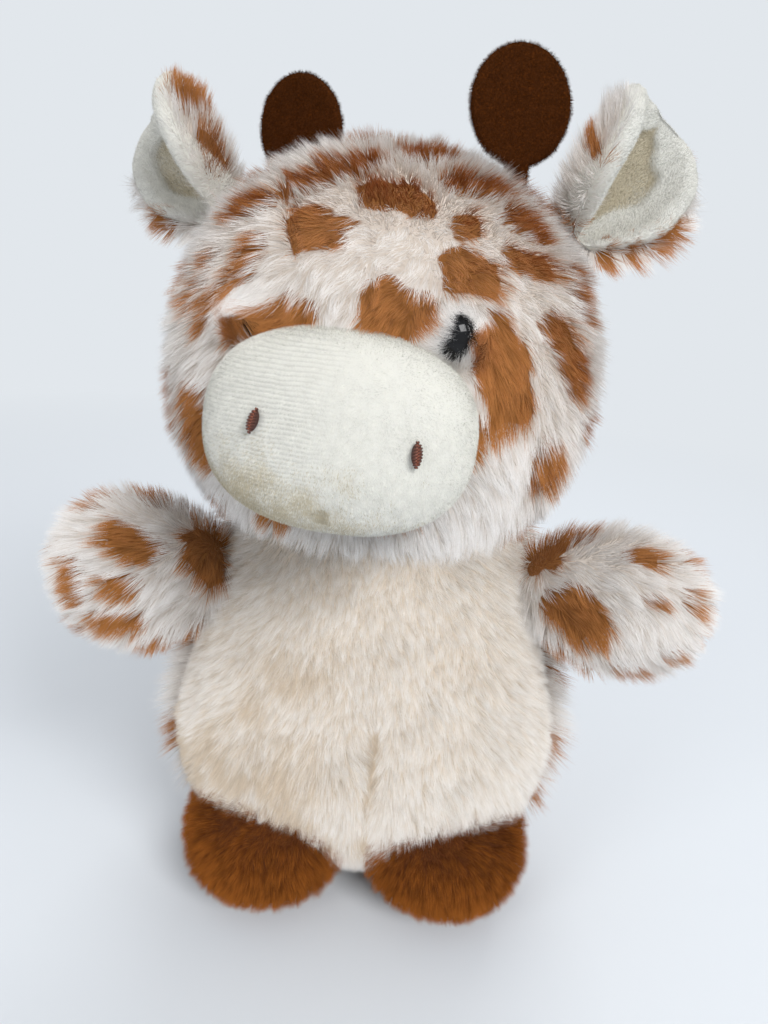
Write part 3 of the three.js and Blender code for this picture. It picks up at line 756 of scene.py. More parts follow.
def stitch_tree():
    """Lays threads over an oval pad in the XZ plane that faces -Y."""
    tree, given, shown = new_tree("Satin stitches", STITCH_INPUTS)
    node = partial(add, tree)
    bead = node("GeometryNodeMeshUVSphere", (10, 6, 0.5))
    spot = node(SEPARATE, [node("GeometryNodeInputPosition")]).outputs
    along = node(MATH, (spot["X"], 0.5))
    bead = node(STORE, {"Geometry": bead, "Name": "along", "Value": along})
    half = node(MATH, (given["Height"], ROWS_REACH), operation="MULTIPLY")
    below = node(MATH, (half, -1.0), operation="MULTIPLY")
    ends = {"Start Location": node(COMBINE, {"Z": below}), "Offset": node(COMBINE, {"Z": half})}
    line = node("GeometryNodeMeshLine", {"Count": given["Rows"], **ends}, mode="END_POINTS")
    level = node(MATH, (given["Height"], 0.5), operation="MULTIPLY")
    level = node(MATH, (spot["Z"], level), operation="DIVIDE")
    level = node(MATH, (level, level), operation="MULTIPLY")
    reach = node(MATH, [node(MATH, (1.0, level), operation="SUBTRACT")], operation="SQRT")
    joined = node("GeometryNodeJoinGeometry")
    for side, half_turn in ((1, 0.0), (-1, math.pi)):
        shares = (
            (given["Width"], THREAD_ASIDE * side),
            (given["Stands out"], -1.0),
            (given["Width"], THREAD_LENGTH),
        )
        parts = [node(MATH, share, operation="MULTIPLY") for share in shares]
        out, front, long = (node(MATH, (part, reach), operation="MULTIPLY") for part in parts)
        laid = node(MOVE, {"Geometry": line, "Offset": node(COMBINE, (out, front))})
        slant = node(MATH, (given["Slant"], -side), operation="MULTIPLY")
        slant = node(MATH, (slant, node(RANDOM, {**SLANT_RANGE, "Seed": 3})))
        spin = node(COMBINE, {"Y": slant, "Z": half_turn})
        size = node(COMBINE, (long, given["Thread"], given["Thread"]))
        links = {"Points": laid, "Instance": bead, "Rotation": spin, "Scale": size}
        copies = node(REALIZE, [node("GeometryNodeInstanceOnPoints", links)])
        tree.links.new(copies.outputs[0], joined.inputs[0])
    sewn = node("GeometryNodeSetMaterial", {"Geometry": joined, "Material": given["Material"]})
    tree.links.new(sewn.outputs[0], shown.inputs[0])
    return tree


TREES = {"Pile": pile_tree, "Satin stitches": stitch_tree}


def set_attribute(mesh, name, values, kind="FLOAT"):
    attribute = mesh.attributes.new(name, kind, "POINT")
    key = "vector" if kind == "FLOAT_VECTOR" else "value"
    attribute.data.foreach_set(key, np.asarray(values, np.float32).ravel())


def mesh_object(name, points, faces, material=None):
    mesh = bpy.data.meshes.new(name)
    mesh.from_pydata(points.tolist(), [], faces.tolist())
    mesh.shade_smooth()
    made = bpy.data.objects.new(name, mesh)
    bpy.context.scene.collection.objects.link(made)
    if material:
        mesh.materials.append(material)
    return made


def modified(source, name, tree_name, values):
    """A plain mesh object of what a tree makes of the source's mesh. The source is used up."""
    tree = bpy.data.node_groups.get(tree_name) or TREES[tree_name]()
    modifier = source.modifiers.new(tree_name, "NODES")
    modifier.node_group = tree
    for item in tree.interface.items_tree:
        if item.in_out == "INPUT" and item.name in values:
            modifier[item.identifier] = values[item.name]
    source.update_tag()
    graph = bpy.context.evaluated_depsgraph_get()
    mesh = bpy.data.meshes.new_from_object(source.evaluated_get(graph))
    mesh.name = name
    source.modifiers.remove(modifier)
    bpy.data.objects.remove(source)
    made = bpy.data.objects.new(name, mesh)
    bpy.context.scene.collection.objects.link(made)
    return made


def fitted(piece, body, replaced=()):
    """Rides a piece on its body and hides the solids that it stands for."""
    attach(piece, body)
    if replaced:
        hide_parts(*replaced)
    return piece


# Materials


def tinted(colour, factor):
    return tuple(min(1.0, channel * factor) for channel in colour)


def with_stops(ramp, stops):
    """Gives a colour ramp its (position, linear colour) stops."""
    elements = ramp.color_ramp.elements
    while len(elements) < len(stops):
        elements.new(0.5)
    for element, (position, colour) in zip(elements, stops):
        element.position = position
        element.color = (*colour, 1)
    return ramp


# Real fibres are too fine to show, so each drawn one is a bundle. Bundles differ in dye, in lightness at
# random, and by painted shade at a tuft's edge
FIBRE_LIGHTEST = 1.08
FIBRE_DARKEST = 0.76

# A fabric's ground takes the second dye between these tones
GROUND_TONES = (0.35, 0.65)

# Real sizes that the patterns are drawn at
LOOP_SIZE = 0.8 * MM
KNIT_ROW = 0.78 * MM
KNIT_WOBBLE_SIZE = 5 * MM
# Painted shade: the share of colour left in the troughs between knitted rows
KNIT_TROUGH_PAINTED_SHADE = 0.84
VELBOA_GRAIN = 0.4 * MM
FELT_MOTTLE = 0.5 * MM
THREAD_GRAIN = 0.12 * MM
LINT_SIZE = 0.5 * MM
NYLON_CLOUD = 2 * MM


def fibre_surface(node, tip, root, other_tip, other_root, roughness, sheen):
    """Two dyes, picked by the shade, each darkened from tip to root by painted shade."""
    shade = node(ATTRIBUTE, attribute_name="shade").outputs["Fac"]
    along = node(ATTRIBUTE, attribute_name="along").outputs["Fac"]
    ends = []
    for first, second in ((root, other_root), (tip, other_tip)):
        stops = [
            (FIRST_DYE[0], tinted(first, FIBRE_LIGHTEST)),
            (FIRST_DYE[1], tinted(first, FIBRE_DARKEST)),
            (SECOND_DYE[0], tinted(second, FIBRE_LIGHTEST)),
            (SECOND_DYE[1], tinted(second, FIBRE_DARKEST)),
        ]
        ends.append(with_stops(node(RAMP, [shade]), stops))
    colour = node("ShaderNodeMix", (along, ends[0], ends[1]), data_type="RGBA")
    links = {"Base Color": colour, "Roughness": roughness, "Sheen Weight": sheen}
    return node(PRINCIPLED, {**links, "Specular IOR Level": 0.08})


def knit_surface(node, root, other_root):
    """The knitted ground of a pile fabric, seen only between the fibres: loops side by side, in the roots'
    colours, which are painted shade.
    """
    tone = node(ATTRIBUTE, attribute_name="tone").outputs["Fac"]
    colour = with_stops(node(RAMP, [tone]), list(zip(GROUND_TONES, (root, other_root))))
    place = node("ShaderNodeTexCoord").outputs["Object"]
    loops = node("ShaderNodeTexVoronoi", {"Vector": place, "Scale": 1 / LOOP_SIZE})
    bump = node(BUMP, {"Strength": 0.6, "Distance": 0.2 * MM, "Height": loops})
    return node(PRINCIPLED, {"Base Color": colour, "Roughness": 1.0, "Normal": bump})


def velboa_ground(node, pale, warm):
    """The ground of velboa under its thin nap: the rows of its knitted loops show in places, with painted
    shade in the troughs between them.
    """
    place = node("ShaderNodeTexCoord").outputs["Object"]
    height = node(VECTOR, (place, tuple(HEAD_TURNED.col[2][:3])), operation="DOT_PRODUCT")
    wobble = node(NOISE, {"Vector": place, "Scale": 1 / KNIT_WOBBLE_SIZE})
    wobble = node(MATH, (wobble, 7.0), operation="MULTIPLY")
    phase = node(MATH, (height, 2 * math.pi / KNIT_ROW, wobble), operation="MULTIPLY_ADD")
    rows = node(MATH, [phase], operation="SINE")
    knit = node(ATTRIBUTE, attribute_name="knit").outputs["Fac"]
    ridge = node(MATH, (rows, knit), operation="MULTIPLY")
    tone = node(ATTRIBUTE, attribute_name="tone").outputs["Fac"]
    lit = with_stops(node(RAMP, [tone]), list(zip(GROUND_TONES, (pale, warm))))
    # Painted shade: the troughs between rows take darker copies of the colours
    painted_trough_colours = [tinted(colour, KNIT_TROUGH_PAINTED_SHADE) for colour in (pale, warm)]
    between = with_stops(node(RAMP, [tone]), list(zip(GROUND_TONES, painted_trough_colours)))
    painted_trough = node(MATH, (ridge, -1.0), operation="MULTIPLY")
    painted_trough = node(MATH, (painted_trough, 0.0), operation="MAXIMUM")
    colour = node("ShaderNodeMix", (painted_trough, lit, between), data_type="RGBA")
    grain = node(NOISE, {"Vector": place, "Scale": 1 / VELBOA_GRAIN, "Detail": 3.0})
    rise = node(MATH, (grain, 1.6, ridge), operation="MULTIPLY_ADD")
    bump = node(BUMP, {"Strength": 0.5, "Distance": 0.1 * MM, "Height": rise})
    return node(PRINCIPLED, {"Base Color": colour, "Roughness": 1.0, "Normal": bump})


def felt_surface(node, colour):
    """Pressed fibres, matt all over, with a mottle where they are matted."""
    place = node("ShaderNodeTexCoord").outputs["Object"]
    mottle = node(NOISE, {"Vector": place, "Scale": 1 / FELT_MOTTLE, "Detail": 6.0, "Roughness": 0.7})
    stops = [(0.3, tinted(colour, 0.55)), (0.5, colour), (0.72, tinted(colour, 2.6))]
    shades = with_stops(node(RAMP, [mottle]), stops)
    bump = node(BUMP, {"Strength": 0.7, "Distance": 0.15 * MM, "Height": mottle})
    links = {"Base Color": shades, "Roughness": 1.0, "Normal": bump}
    return node(PRINCIPLED, {**links, "Specular IOR Level": 0.0})


def thread_surface(node, colour):
    """A soft gloss, with a painted highlight where the two columns of stitches meet and painted shade
    towards the threads' outer ends.
    """
    along = node(ATTRIBUTE, attribute_name="along").outputs["Fac"]
    stops = [(0.1, tinted(colour, 2.6)), (0.4, colour), (1.0, tinted(colour, 0.45))]
    shades = with_stops(node(RAMP, [along]), stops)
    place = node("ShaderNodeTexCoord").outputs["Object"]
    grain = node(NOISE, {"Vector": place, "Scale": 1 / THREAD_GRAIN})
    bump = node(BUMP, {"Strength": 0.4, "Distance": 0.04 * MM, "Height": grain})
    return node(PRINCIPLED, {"Base Color": shades, "Roughness": 0.45, "Normal": bump})


def eye_surface(node, colour):
    """A hard clear gloss, with fine lint that dulls it in specks."""
    place = node("ShaderNodeTexCoord").outputs["Object"]
    lint = node(NOISE, {"Vector": place, "Scale": 1 / LINT_SIZE, "Detail": 4.0})
    dull = with_stops(node(RAMP, [lint]), [(0.5, (0.04, 0.04, 0.04)), (0.75, (0.2, 0.2, 0.2))])
    links = {"Base Color": (*colour, 1), "Roughness": dull, "Specular IOR Level": 0.3}
    return node(PRINCIPLED, links)


def nylon_surface(node):
    """Milky and slightly cloudy."""
    place = node("ShaderNodeTexCoord").outputs["Object"]
    cloud = node(NOISE, {"Vector": place, "Scale": 1 / NYLON_CLOUD})
    stops = [(0.3, linear("#D2D2CC")), (0.7, linear("#E2E2DE"))]
    return node(PRINCIPLED, {"Base Color": with_stops(node(RAMP, [cloud]), stops), "Roughness": 0.5})


def floor_surface(node):
    """Matt, and the backdrop's own colour far from the toy for the rays that look at it."""
    seen = (*linear(BACKGROUND), 1)
    place = node("ShaderNodeTexCoord").outputs["Object"]
    away = node(VECTOR, [place], operation="LENGTH")
    far = node("ShaderNodeMapRange", (away, *FLOOR_FADE))
    shown = node(MATH, (far, looking_rays(node)), operation="MULTIPLY")
    matt = node(PRINCIPLED, {"Base Color": seen, "Roughness": 1.0, "Specular IOR Level": 0.0})
    glow = node("ShaderNodeEmission", {"Color": seen, "Strength": 1.0})
    return node("ShaderNodeMixShader", (shown, matt, glow))


def looking_rays(node):
    """1 for the rays that show the background itself, and 0 for those that light the toy."""
    path = node("ShaderNodeLightPath").outputs
    rays = node(MATH, (path["Is Camera Ray"], path["Is Glossy Ray"]), operation="MAXIMUM")
    return node(MATH, (rays, path["Is Transmission Ray"]), operation="MAXIMUM")


BACKGROUND = "#E2E7EC"
FLOOR_FADE = (0.25, 0.6)

# Each kind of surface: the material's name, what makes it, its colours with their tints, and the rest
SURFACES = {
    # Long pile, knitted and printed: soft, matt, with white bundles over a pinkish ground. Its roots and
    # knitted ground are darker as painted shade
    "fur": (
        "Printed polyester long pile",
        fibre_surface,
        (("ground", 1), ("ground_root_shade", 1), ("spot", 1), ("spot_root_shade", 1)),
        (0.85, 0.06),
    ),
    "fur_knit": (
        "Knitted ground of the long pile",
        knit_surface,
        (("ground_root_shade", 1), ("spot_root_shade", 1)),
        (),
    ),
    # Short cream plush: paler tips, darkening to a warm beige at the roots as painted shade
    "belly": (
        "Cream polyester plush",
        fibre_surface,
        (("belly", 1), ("belly_root", 1), ("belly_warm", 1), ("belly_root", 0.9)),
        (0.9, 0.08),
    ),
    "belly_knit": ("Knitted ground of the cream plush", knit_surface, (("belly_root", 1),) * 2, ()),
    # Short brown plush: bright tips, darkening towards the roots as painted shade
    "foot": (
        "Brown polyester plush",
        fibre_surface,
        (("foot", 1), ("foot_root", 1), ("foot", 0.6), ("foot_root", 0.8)),
        (0.9, 0.02),
    ),
    "foot_knit": ("Knitted ground of the brown plush", knit_surface, (("foot_root", 1),) * 2, ()),
    # Velboa: a smooth nap under a millimetre, cool white with warmer patches, some random and some painted
    # shade. Its roots and knitted ground are darker as painted shade
    "velboa": (
        "Velboa nap",
        fibre_surface,
        (("velboa", 1), ("velboa", 0.88), ("velboa_warm", 1), ("velboa_warm", 0.85)),
        (0.9, 0.05),
    ),
    "velboa_knit": (
        "Knitted ground of the velboa",
        velboa_ground,
        (("velboa", 0.92), ("velboa_warm", 0.92)),
        (),
    ),
    # Felt: pressed flat and matt, with a few loose fibres at its edge whose tips are painted paler, a
    # painted highlight where they catch the light
    "felt": ("Pressed polyester felt", felt_surface, (("felt", 1),), ()),
    "felt_fuzz": (
        "Loose fibres of the felt",
        fibre_surface,
        (("felt", 1.9), ("felt", 1), ("felt", 1.3), ("felt", 1)),
        (1.0, 0.0),
    ),
    # Embroidery thread: fine filaments with a soft gloss
    "thread": ("Rayon embroidery thread", thread_surface, (("thread", 1),), ()),
    # Moulded plastics: a deep gloss on the eyes, a milky look on the washers behind them
    "eye": ("Moulded black acrylic", eye_surface, (("eye", 1),), ()),
    "washer": ("Moulded nylon", nylon_surface, (), ()),
    "floor": ("Pale floor", floor_surface, (), ()),
}


def finish(key):
    """The material of a kind of surface, made when it is first asked for."""
    name, maker, dyes, rest = SURFACES[key]
    material = bpy.data.materials.get(name)
    if not material:
        hue = bpy.context.scene.plush_colours
        colours = [tinted(getattr(hue, dye), tint) for dye, tint in dyes]
        material = bpy.data.materials.new(name)
        material.use_nodes = True
        tree = material.node_tree
        tree.nodes.clear()
        surface = maker(partial(add, tree), *colours, *rest)
        add(tree, "ShaderNodeOutputMaterial", {"Surface": surface})
    return material


# Sizes and colours that a user may change


def colour_choice(label, about, hex_colour):
    return bpy.props.FloatVectorProperty(
        name=label, description=about, default=linear(hex_colour), subtype="COLOR", size=3, min=0, max=1
    )


def length_choice(label, about, millimetres):
    return bpy.props.FloatProperty(
        name=label, description=about, default=millimetres * MM, unit="LENGTH", precision=5
    )


def density_choice(label, about, count):
    return bpy.props.FloatProperty(name=label, description=about, default=count)


class PlushColours(bpy.types.PropertyGroup):
    """Colours of the toy's fabrics and fittings"""

    ground: colour_choice("Fur ground", "Tips of the pale fur", "#FBF9F7")
    # The roots' colours are painted shade, where the fibres would shade each other deep in the pile
    ground_root_shade: colour_choice("Fur ground roots", "Roots of the pale fur", "#D6CDC4")
    spot: colour_choice("Spots", "Tips of the fur in a spot", "#C98950")
    spot_root_shade: colour_choice("Spot roots", "Roots of the fur in a spot", "#92602F")
    belly: colour_choice("Belly", "Pale tips of the belly's plush", "#FDFBF7")
    # The warm colour serves both random patches and painted shade on the belly's shaded side and along its
    # dart
    belly_warm: colour_choice("Belly, warm", "Warmer tips of the belly's plush", "#E3D4BF")
    belly_root: colour_choice("Belly roots", "Roots of the belly's plush", "#E3D8CA")
    foot: colour_choice("Feet", "Tips of the feet's plush", "#B56D2D")
    foot_root: colour_choice("Feet roots", "Roots of the feet's plush", "#63320B")
    velboa: colour_choice("Velboa", "Nap of the muzzle and of the ears' lining", "#EBEAE3")
    # The warm colour serves both random patches and painted shade: low on the muzzle, along its dart and in
    # the ears' hollows
    velboa_warm: colour_choice("Velboa, warm", "Warmer patches of the nap", "#D0C6AE")
    felt: colour_choice("Felt", "The horns' felt", "#44230C")
    thread: colour_choice("Thread", "Embroidery of the nostrils", "#643626")
    eye: colour_choice("Eyes", "Black acrylic of the eyes", "#0B0B0D")


class PlushSizes(bpy.types.PropertyGroup):
    """Sizes of the toy's piles. A density counts bundles of fibres to the square millimetre"""

    fur_length: length_choice("Fur length", "Length of a fibre of the printed fur", 5.6)
    fur_width: length_choice("Fur fibre width", "Width of one bundle of the printed fur", 0.115)
    fur_density: density_choice("Fur density", "Bundles of printed fur to the square mm", 9.5)
    plush_length: length_choice("Plush length", "Length of a fibre of the belly and feet", 3.9)
    plush_width: length_choice("Plush fibre width", "Width of one bundle of the plush", 0.1)
    plush_density: density_choice("Plush density", "Bundles of plush to the square mm", 20.0)
    nap_length: length_choice("Nap length", "Length of a fibre of the velboa", 0.45)
    nap_width: length_choice("Nap fibre width", "Width of one bundle of the nap", 0.09)
    nap_density: density_choice("Nap density", "Bundles of nap to the square mm", 30.0)


# What a pile's inputs are beside its sizes, for each kind of pile
PILE_MANNERS = {
    "fur": {},
    "plush": {"Lean": 0.3, "Bend": 0.12, "Tuft size": 1.7 * MM, "Clump": 0.3, "Steps": 1},
    "nap": {"Lean": 0.6, "Stray": 0.5, "Clump": 0.0, "Fan": 0.0, "Relief": 0.0, "Steps": 1},
}
PILE_KINDS = {"fur": "fur", "belly": "plush", "foot": "plush", "velboa": "nap", "felt_fuzz": "nap"}


def pile_values(surface, seed, changes):
    """The inputs of the Pile tree for a kind of surface."""
    kind = PILE_KINDS[surface]
    size = bpy.context.scene.plush_sizes
    return {
        "Density": getattr(size, f"{kind}_density") / MM**2,
        "Length": getattr(size, f"{kind}_length"),
        "Width": getattr(size, f"{kind}_width"),
        "Seed": seed,
        "Material": finish(surface),
        **PILE_MANNERS[kind],
        **changes,
    }


@dataclass
class Coat:
    """The surface that a pile grows on: its nap, and where it is long, dyed or bare."""

    points: np.ndarray
    faces: np.ndarray
    comb: np.ndarray
    tone: np.ndarray
    cover: np.ndarray
    pile: np.ndarray
    fold: np.ndarray | None = None

    def grow(self, name, body, slot, surface, seed, inside=None, **changes):
        cover = self.cover if inside is None else np.where(inside, self.cover, 0.0)
        used = np.flatnonzero(cover[self.faces].max(axis=1) > 0)
        source = mesh_object(name + "_roots", self.points, self.faces[used])
        set_attribute(source.data, "comb", self.comb, "FLOAT_VECTOR")
        if self.fold is not None:
            set_attribute(source.data, "fold", self.fold, "FLOAT_VECTOR")
        for key, share in (("pile", self.pile), ("tone", self.tone), ("cover", cover)):
            set_attribute(source.data, key, share)
        piece = modified(source, name, "Pile", pile_values(surface, seed, changes))
        if not len(piece.data.polygons):
            raise RuntimeError(f"{name} grew no fibres")
        # The pile casts no shadows: its darker roots and tuft edges are painted shade in their place
        piece.visible_shadow = False
        return fitted(piece, body)


def backed(name, body, slot, surface, points, faces, tone, replaced, fill=None):
    """The fabric's own ground, which the pile grows on."""
    backing = mesh_object(name, points, faces, finish(surface))
    set_attribute(backing.data, "tone", tone)
    return fitted(backing, body, replaced)


def nap_on(points, normals, flow, *waves):
    """The nap that follows a flow in the surface, turned by noise of each (size, degrees, seed)."""
    comb = unit(along_surface(flow, normals))
    for size, degrees, seed in waves:
        angle = (np.radians(degrees) * rough(points, size, seed))[:, None]
        comb = comb * np.cos(angle) + np.cross(normals, comb) * np.sin(angle)
    return comb


DOWN = np.array([0.0, 0.0, -1.0])

# A pile is turned in broad waves and in ripples: their size and how many degrees they turn it
FUR_WAVE = (14 * MM, 38)
FUR_RIPPLE = (4.5 * MM, 26)
BELLY_WAVE = (15 * MM, 60)
BELLY_RIPPLE = (5 * MM, 45)
ARM_WAVE = (13 * MM, 40)
ARM_RIPPLE = (4.5 * MM, 30)
FOOT_WAVE = (10 * MM, 60)
FOOT_RIPPLE = (4 * MM, 40)
TAIL_WAVE = (6 * MM, 35)
EAR_WAVE = (6 * MM, 30)
LINING_WAVE = (6 * MM, 60)
MUZZLE_WAVE = (7 * MM, 70)
FELT_WAVE = (1.5 * MM, 180)

# A pile's length varies by this share, over patches of this size
FUR_UNEVENNESS = 0.12
FUR_UNEVEN_SIZE = 5 * MM
PLUSH_UNEVENNESS = 0.15
PLUSH_UNEVEN_SIZE = 4 * MM


# Head

HEAD_SPOTS = (
    (434, 141, 14, 8, 0),
    (318, 160, 23, 9.5, 18),
    (395, 187, 16, 9.5, -15),
    (487, 175, 17, 8, -12),
    (543, 221, 13, 8, -25),
    (297, 222, 15.5, 9.5, -10),
    (481, 223, 7.5, 6, 90),
    (481, 278, 12.5, 9.5, -15),
    (552, 266, 16, 6, -15),
    (229, 203, 12, 8, 30),
    (226, 268, 14, 7, 72),
    (190, 262, 6, 4.5, 60),
    (190, 313, 11, 5, 75),
    (175, 301, 9, 5, 70),
    (261, 329, 21, 9.5, 5),
    (393, 320, 12.5, 11, -10),
    (513, 391, 23, 11, -80),
    (584, 368, 22, 10, -65),
    (596, 300, 12, 7, -75),
    (184, 437, 19, 13, -75),
    (556, 487, 16, 12, -30),
    (483, 462, 9, 4, 90),
    (266, 530, 8, 6, 0),
    (388, 541, 13, 4.5, 0),
)
FOREHEAD_DART = ((268, 168), (273, 200), (281, 236))
PARTING_BARE = 0.18 * MM
PARTING_WIDTH = 0.45 * MM
PARTING_REACH = 2.6 * MM
NAPE_SEAM = (
    (0, HEAD_SEAM_Y, HEAD_HEIGHT / 2),
    (0, 24 * MM, 38 * MM),
    (0, HEAD_DEPTH / 2, 0),
    (0, 36 * MM, -24 * MM),
)


PARTING_STRENGTH = 1.6
PARTING_SHORTENS = 0.3


def parted(points, normals, comb, cover, pile, path, strength=PARTING_STRENGTH):
    """Fur that lies away from a seam on both sides of it."""
    distance, away = nearest_on_path(points, path)
    near = hump(distance, PARTING_REACH)[:, None]
    comb = unit(along_surface(comb + strength * near * away, normals))
    cover = cover * blend_in(PARTING_BARE, PARTING_WIDTH, distance)
    pile = pile * (1 - PARTING_SHORTENS * hump(distance, PARTING_REACH))
    return comb, cover, pile


# How far the nap runs outward and away from the crown seam for each step down
NAP_OUTWARD = 0.25
NAP_FROM_SEAM = 0.75

# How strongly it runs away from the muzzle, how fast that fades, and below which slope it does
NAP_FROM_MUZZLE = 2.4
MUZZLE_FADE = 0.5
BESIDE_MUZZLE = (-0.35, 0.55)


def head_nap(points, normals):
    """Fur runs down from the crown seam, and out and down from the muzzle's sides."""
    local = moved(HEAD_PLACE.inverted(), points)
    ahead = np.where(local[:, 1] < HEAD_SEAM_Y, -1.0, 1.0)
    flow = [NAP_OUTWARD * unit(local)[:, 0], NAP_FROM_SEAM * ahead, -np.ones(len(local))]
    flow = np.stack(flow, axis=1)
    from_muzzle = local - np.array(MUZZLE_CENTRE)
    radial = np.stack([from_muzzle[:, 0], np.zeros(len(local)), from_muzzle[:, 2]], axis=1)
    ring = np.hypot(radial[:, 0] / (MUZZLE_WIDTH / 2), radial[:, 2] / (MUZZLE_HEIGHT / 2))
    beside = blend_in(*BESIDE_MUZZLE, -unit(radial)[:, 2])
    pull = beside * np.exp(-np.maximum(ring - 1, 0) / MUZZLE_FADE) * (local[:, 1] < 0)
    flow = flow + NAP_FROM_MUZZLE * pull[:, None] * unit(radial)
    return nap_on(points, normals, moved(HEAD_TURNED, flow), (*FUR_WAVE, 2), (*FUR_RIPPLE, 12))


BEHIND_MUZZLE = 6 * MM
FAR_FROM_MUZZLE = 3.0


def muzzle_ring(points):
    """Under 1 inside the muzzle's seam on the face, over 1 outside it."""
    local = moved(MUZZLE_FORM.place.inverted(), points)
    across = np.abs(local[:, 0]) / (MUZZLE_WIDTH / 2)
    up = np.abs(local[:, 1]) / (MUZZLE_HEIGHT / 2)
    ring = (across**MUZZLE_FULLNESS + up**MUZZLE_FULLNESS) ** (1 / MUZZLE_FULLNESS)
    return np.where(local[:, 2] > -MUZZLE_ROOT - BEHIND_MUZZLE, ring, FAR_FROM_MUZZLE)


def eye_frame(side):
    """The eye's seat on the head's outer reach, looking along its own outward axis."""
    directions, faces = ball(5)
    skin = skin_of(replace(HEAD_FORM, place=Matrix.Identity(4)).points(directions), faces)
    start = Vector((side * EYE_SPREAD, -HEAD_DEPTH, EYE_HEIGHT))
    place, _, _, _ = skin.ray_cast(start, Vector((0, 1, 0)))
    outward = Vector((place.x / HEAD_WIDTH**2, place.y / HEAD_DEPTH**2, place.z / HEAD_HEIGHT**2))
    return HEAD_PLACE @ placed(place, outward.to_track_quat("Z", "Y").to_matrix().to_4x4())


EYE_GAP = 0.25 * MM
LID_REACH = 3.6 * MM
LID_WHOLE_WITHIN = 1.08 * MM
LID_STANDS_UP = 0.9
EYE_ZONE_DEPTH = 12 * MM

# The share of its fold by which a lid's fur carries a spot's dye with it
LID_DRIFT = 0.4

# How far fur reaches over each dome: from the nose's side, the far side, above and below
LID_COVER = {
    "left": (2.5 * MM, 2.1 * MM, 0.0, 1.4 * MM),
    "right": (4.2 * MM, 2.4 * MM, 4.2 * MM, 1.6 * MM),
}

# How much further over the dome it folds all round
LID_EXTRA = {"left": 0.1 * MM, "right": 1.6 * MM}

# How much longer and denser that fur grows, as shares of its length and density elsewhere
LID_PILE = {"left": 0.1, "right": 0.7}
LID_THICKNESS = {"left": 12.0, "right": 6.0}


def lids(points, normals, comb, cover, pile):
    """Fur round each eye stands up from its roots and folds in over the dome."""
    fold = np.zeros_like(points)
    for name, side in SIDES:
        seat = eye_frame(side)
        local = moved(seat.inverted(), points)
        flat = np.hypot(local[:, 0], local[:, 1])
        ahead = local[:, 2] > -EYE_ZONE_DEPTH
        beyond = np.maximum(flat - EYE_RADIUS, 0)
        near = np.where(ahead, 1 - blend_in(LID_WHOLE_WITHIN, LID_REACH, beyond), 0)
        across, up = local[:, 0] * side / flat, local[:, 1] / flat
        nose, far, above, below = (EYE_RADIUS - reach for reach in LID_COVER[name])
        across = across / np.where(across < 0, nose, far)
        up = up / np.where(up > 0, above, below)
        over = EYE_RADIUS + LID_EXTRA[name] - 1 / np.hypot(across, up)
        inward = unit(along_surface(np.array(seat.translation) - points, normals))
        fold = fold + (near * (beyond + over))[:, None] * inward
        comb = comb * (1 - LID_STANDS_UP * near)[:, None]
        pile = pile * (1 + LID_PILE[name] * near)
        bare = np.where(ahead, 1 - blend_in(EYE_RADIUS, EYE_RADIUS + EYE_GAP, flat), 0)
        cover = cover * (1 - bare) * (1 + LID_THICKNESS[name] * near)
    return comb, cover, pile, fold


HEAD_SPOT_SPACING = 11 * MM
NAPE_PARTING = 0.8

# Round the muzzle, in shares of its own size: where fur starts, and where it has its full length
FUR_STARTS = (0.93, 1.0)
FUR_IS_LONG = (1.0, 1.22)
SHORT_AT_MUZZLE = 0.38
NECK_BARE = 3 * MM


def make_head():
    directions, faces = ball(6)
    outer = HEAD_FORM.points(directions)
    base = HEAD_FORM.points(directions, FUR_DEPTH)
    normals = normals_of(outer, faces)
    level = NECK_RING.z + NECK_CLEARANCE
    base[:, 2] = np.maximum(base[:, 2], level)
    comb = head_nap(outer, normals)
    skin = skin_of(outer, faces)
    spots = hidden_spots(outer, normals, seen_spots(skin, HEAD_SPOTS), HEAD_SPOT_SPACING, 5)
    ring = muzzle_ring(outer)
    cover = blend_in(*FUR_STARTS, ring) * blend_in(level - NECK_BARE, level, outer[:, 2])
    pile = 1 - SHORT_AT_MUZZLE + SHORT_AT_MUZZLE * blend_in(*FUR_IS_LONG, ring)
    pile = pile * (1 + FUR_UNEVENNESS * rough(outer, FUR_UNEVEN_SIZE, 9))
    dart = seen_path(skin, FOREHEAD_DART)
    comb, cover, pile = parted(outer, normals, comb, cover, pile, dart)
    nape = moved(HEAD_PLACE, np.array(NAPE_SEAM))
    comb, cover, pile = parted(outer, normals, comb, cover, pile, nape, NAPE_PARTING)
    comb, cover, pile, fold = lids(outer, normals, comb, cover, pile)
    tone = spottiness(outer + comb * TIP_DRIFT + LID_DRIFT * fold, spots)
    covers = ("head_front_cover", "head_back_left_cover", "head_back_right_cover", "head_stuffing")
    backing = ("head_backing", "head", "spotted_fur", "fur_knit")
    backed(*backing, base, faces, tone, covers, fill=0.9)
    coat = Coat(base, faces, comb, tone, cover, pile, fold)
    local = moved(HEAD_PLACE.inverted(), outer)
    in_front = local[:, 1] < HEAD_SEAM_Y
    on_left = local[:, 0] >= 0
    coat.grow("face_left_pile", "head", "spotted_fur", "fur", 1, in_front & on_left)
    coat.grow("face_right_pile", "head", "spotted_fur", "fur", 2, in_front & ~on_left)
    coat.grow("nape_left_pile", "head", "spotted_fur", "fur", 3, ~in_front & on_left)
    coat.grow("nape_right_pile", "head", "spotted_fur", "fur", 4, ~in_front & ~on_left)


# Muzzle, nostrils and eyes

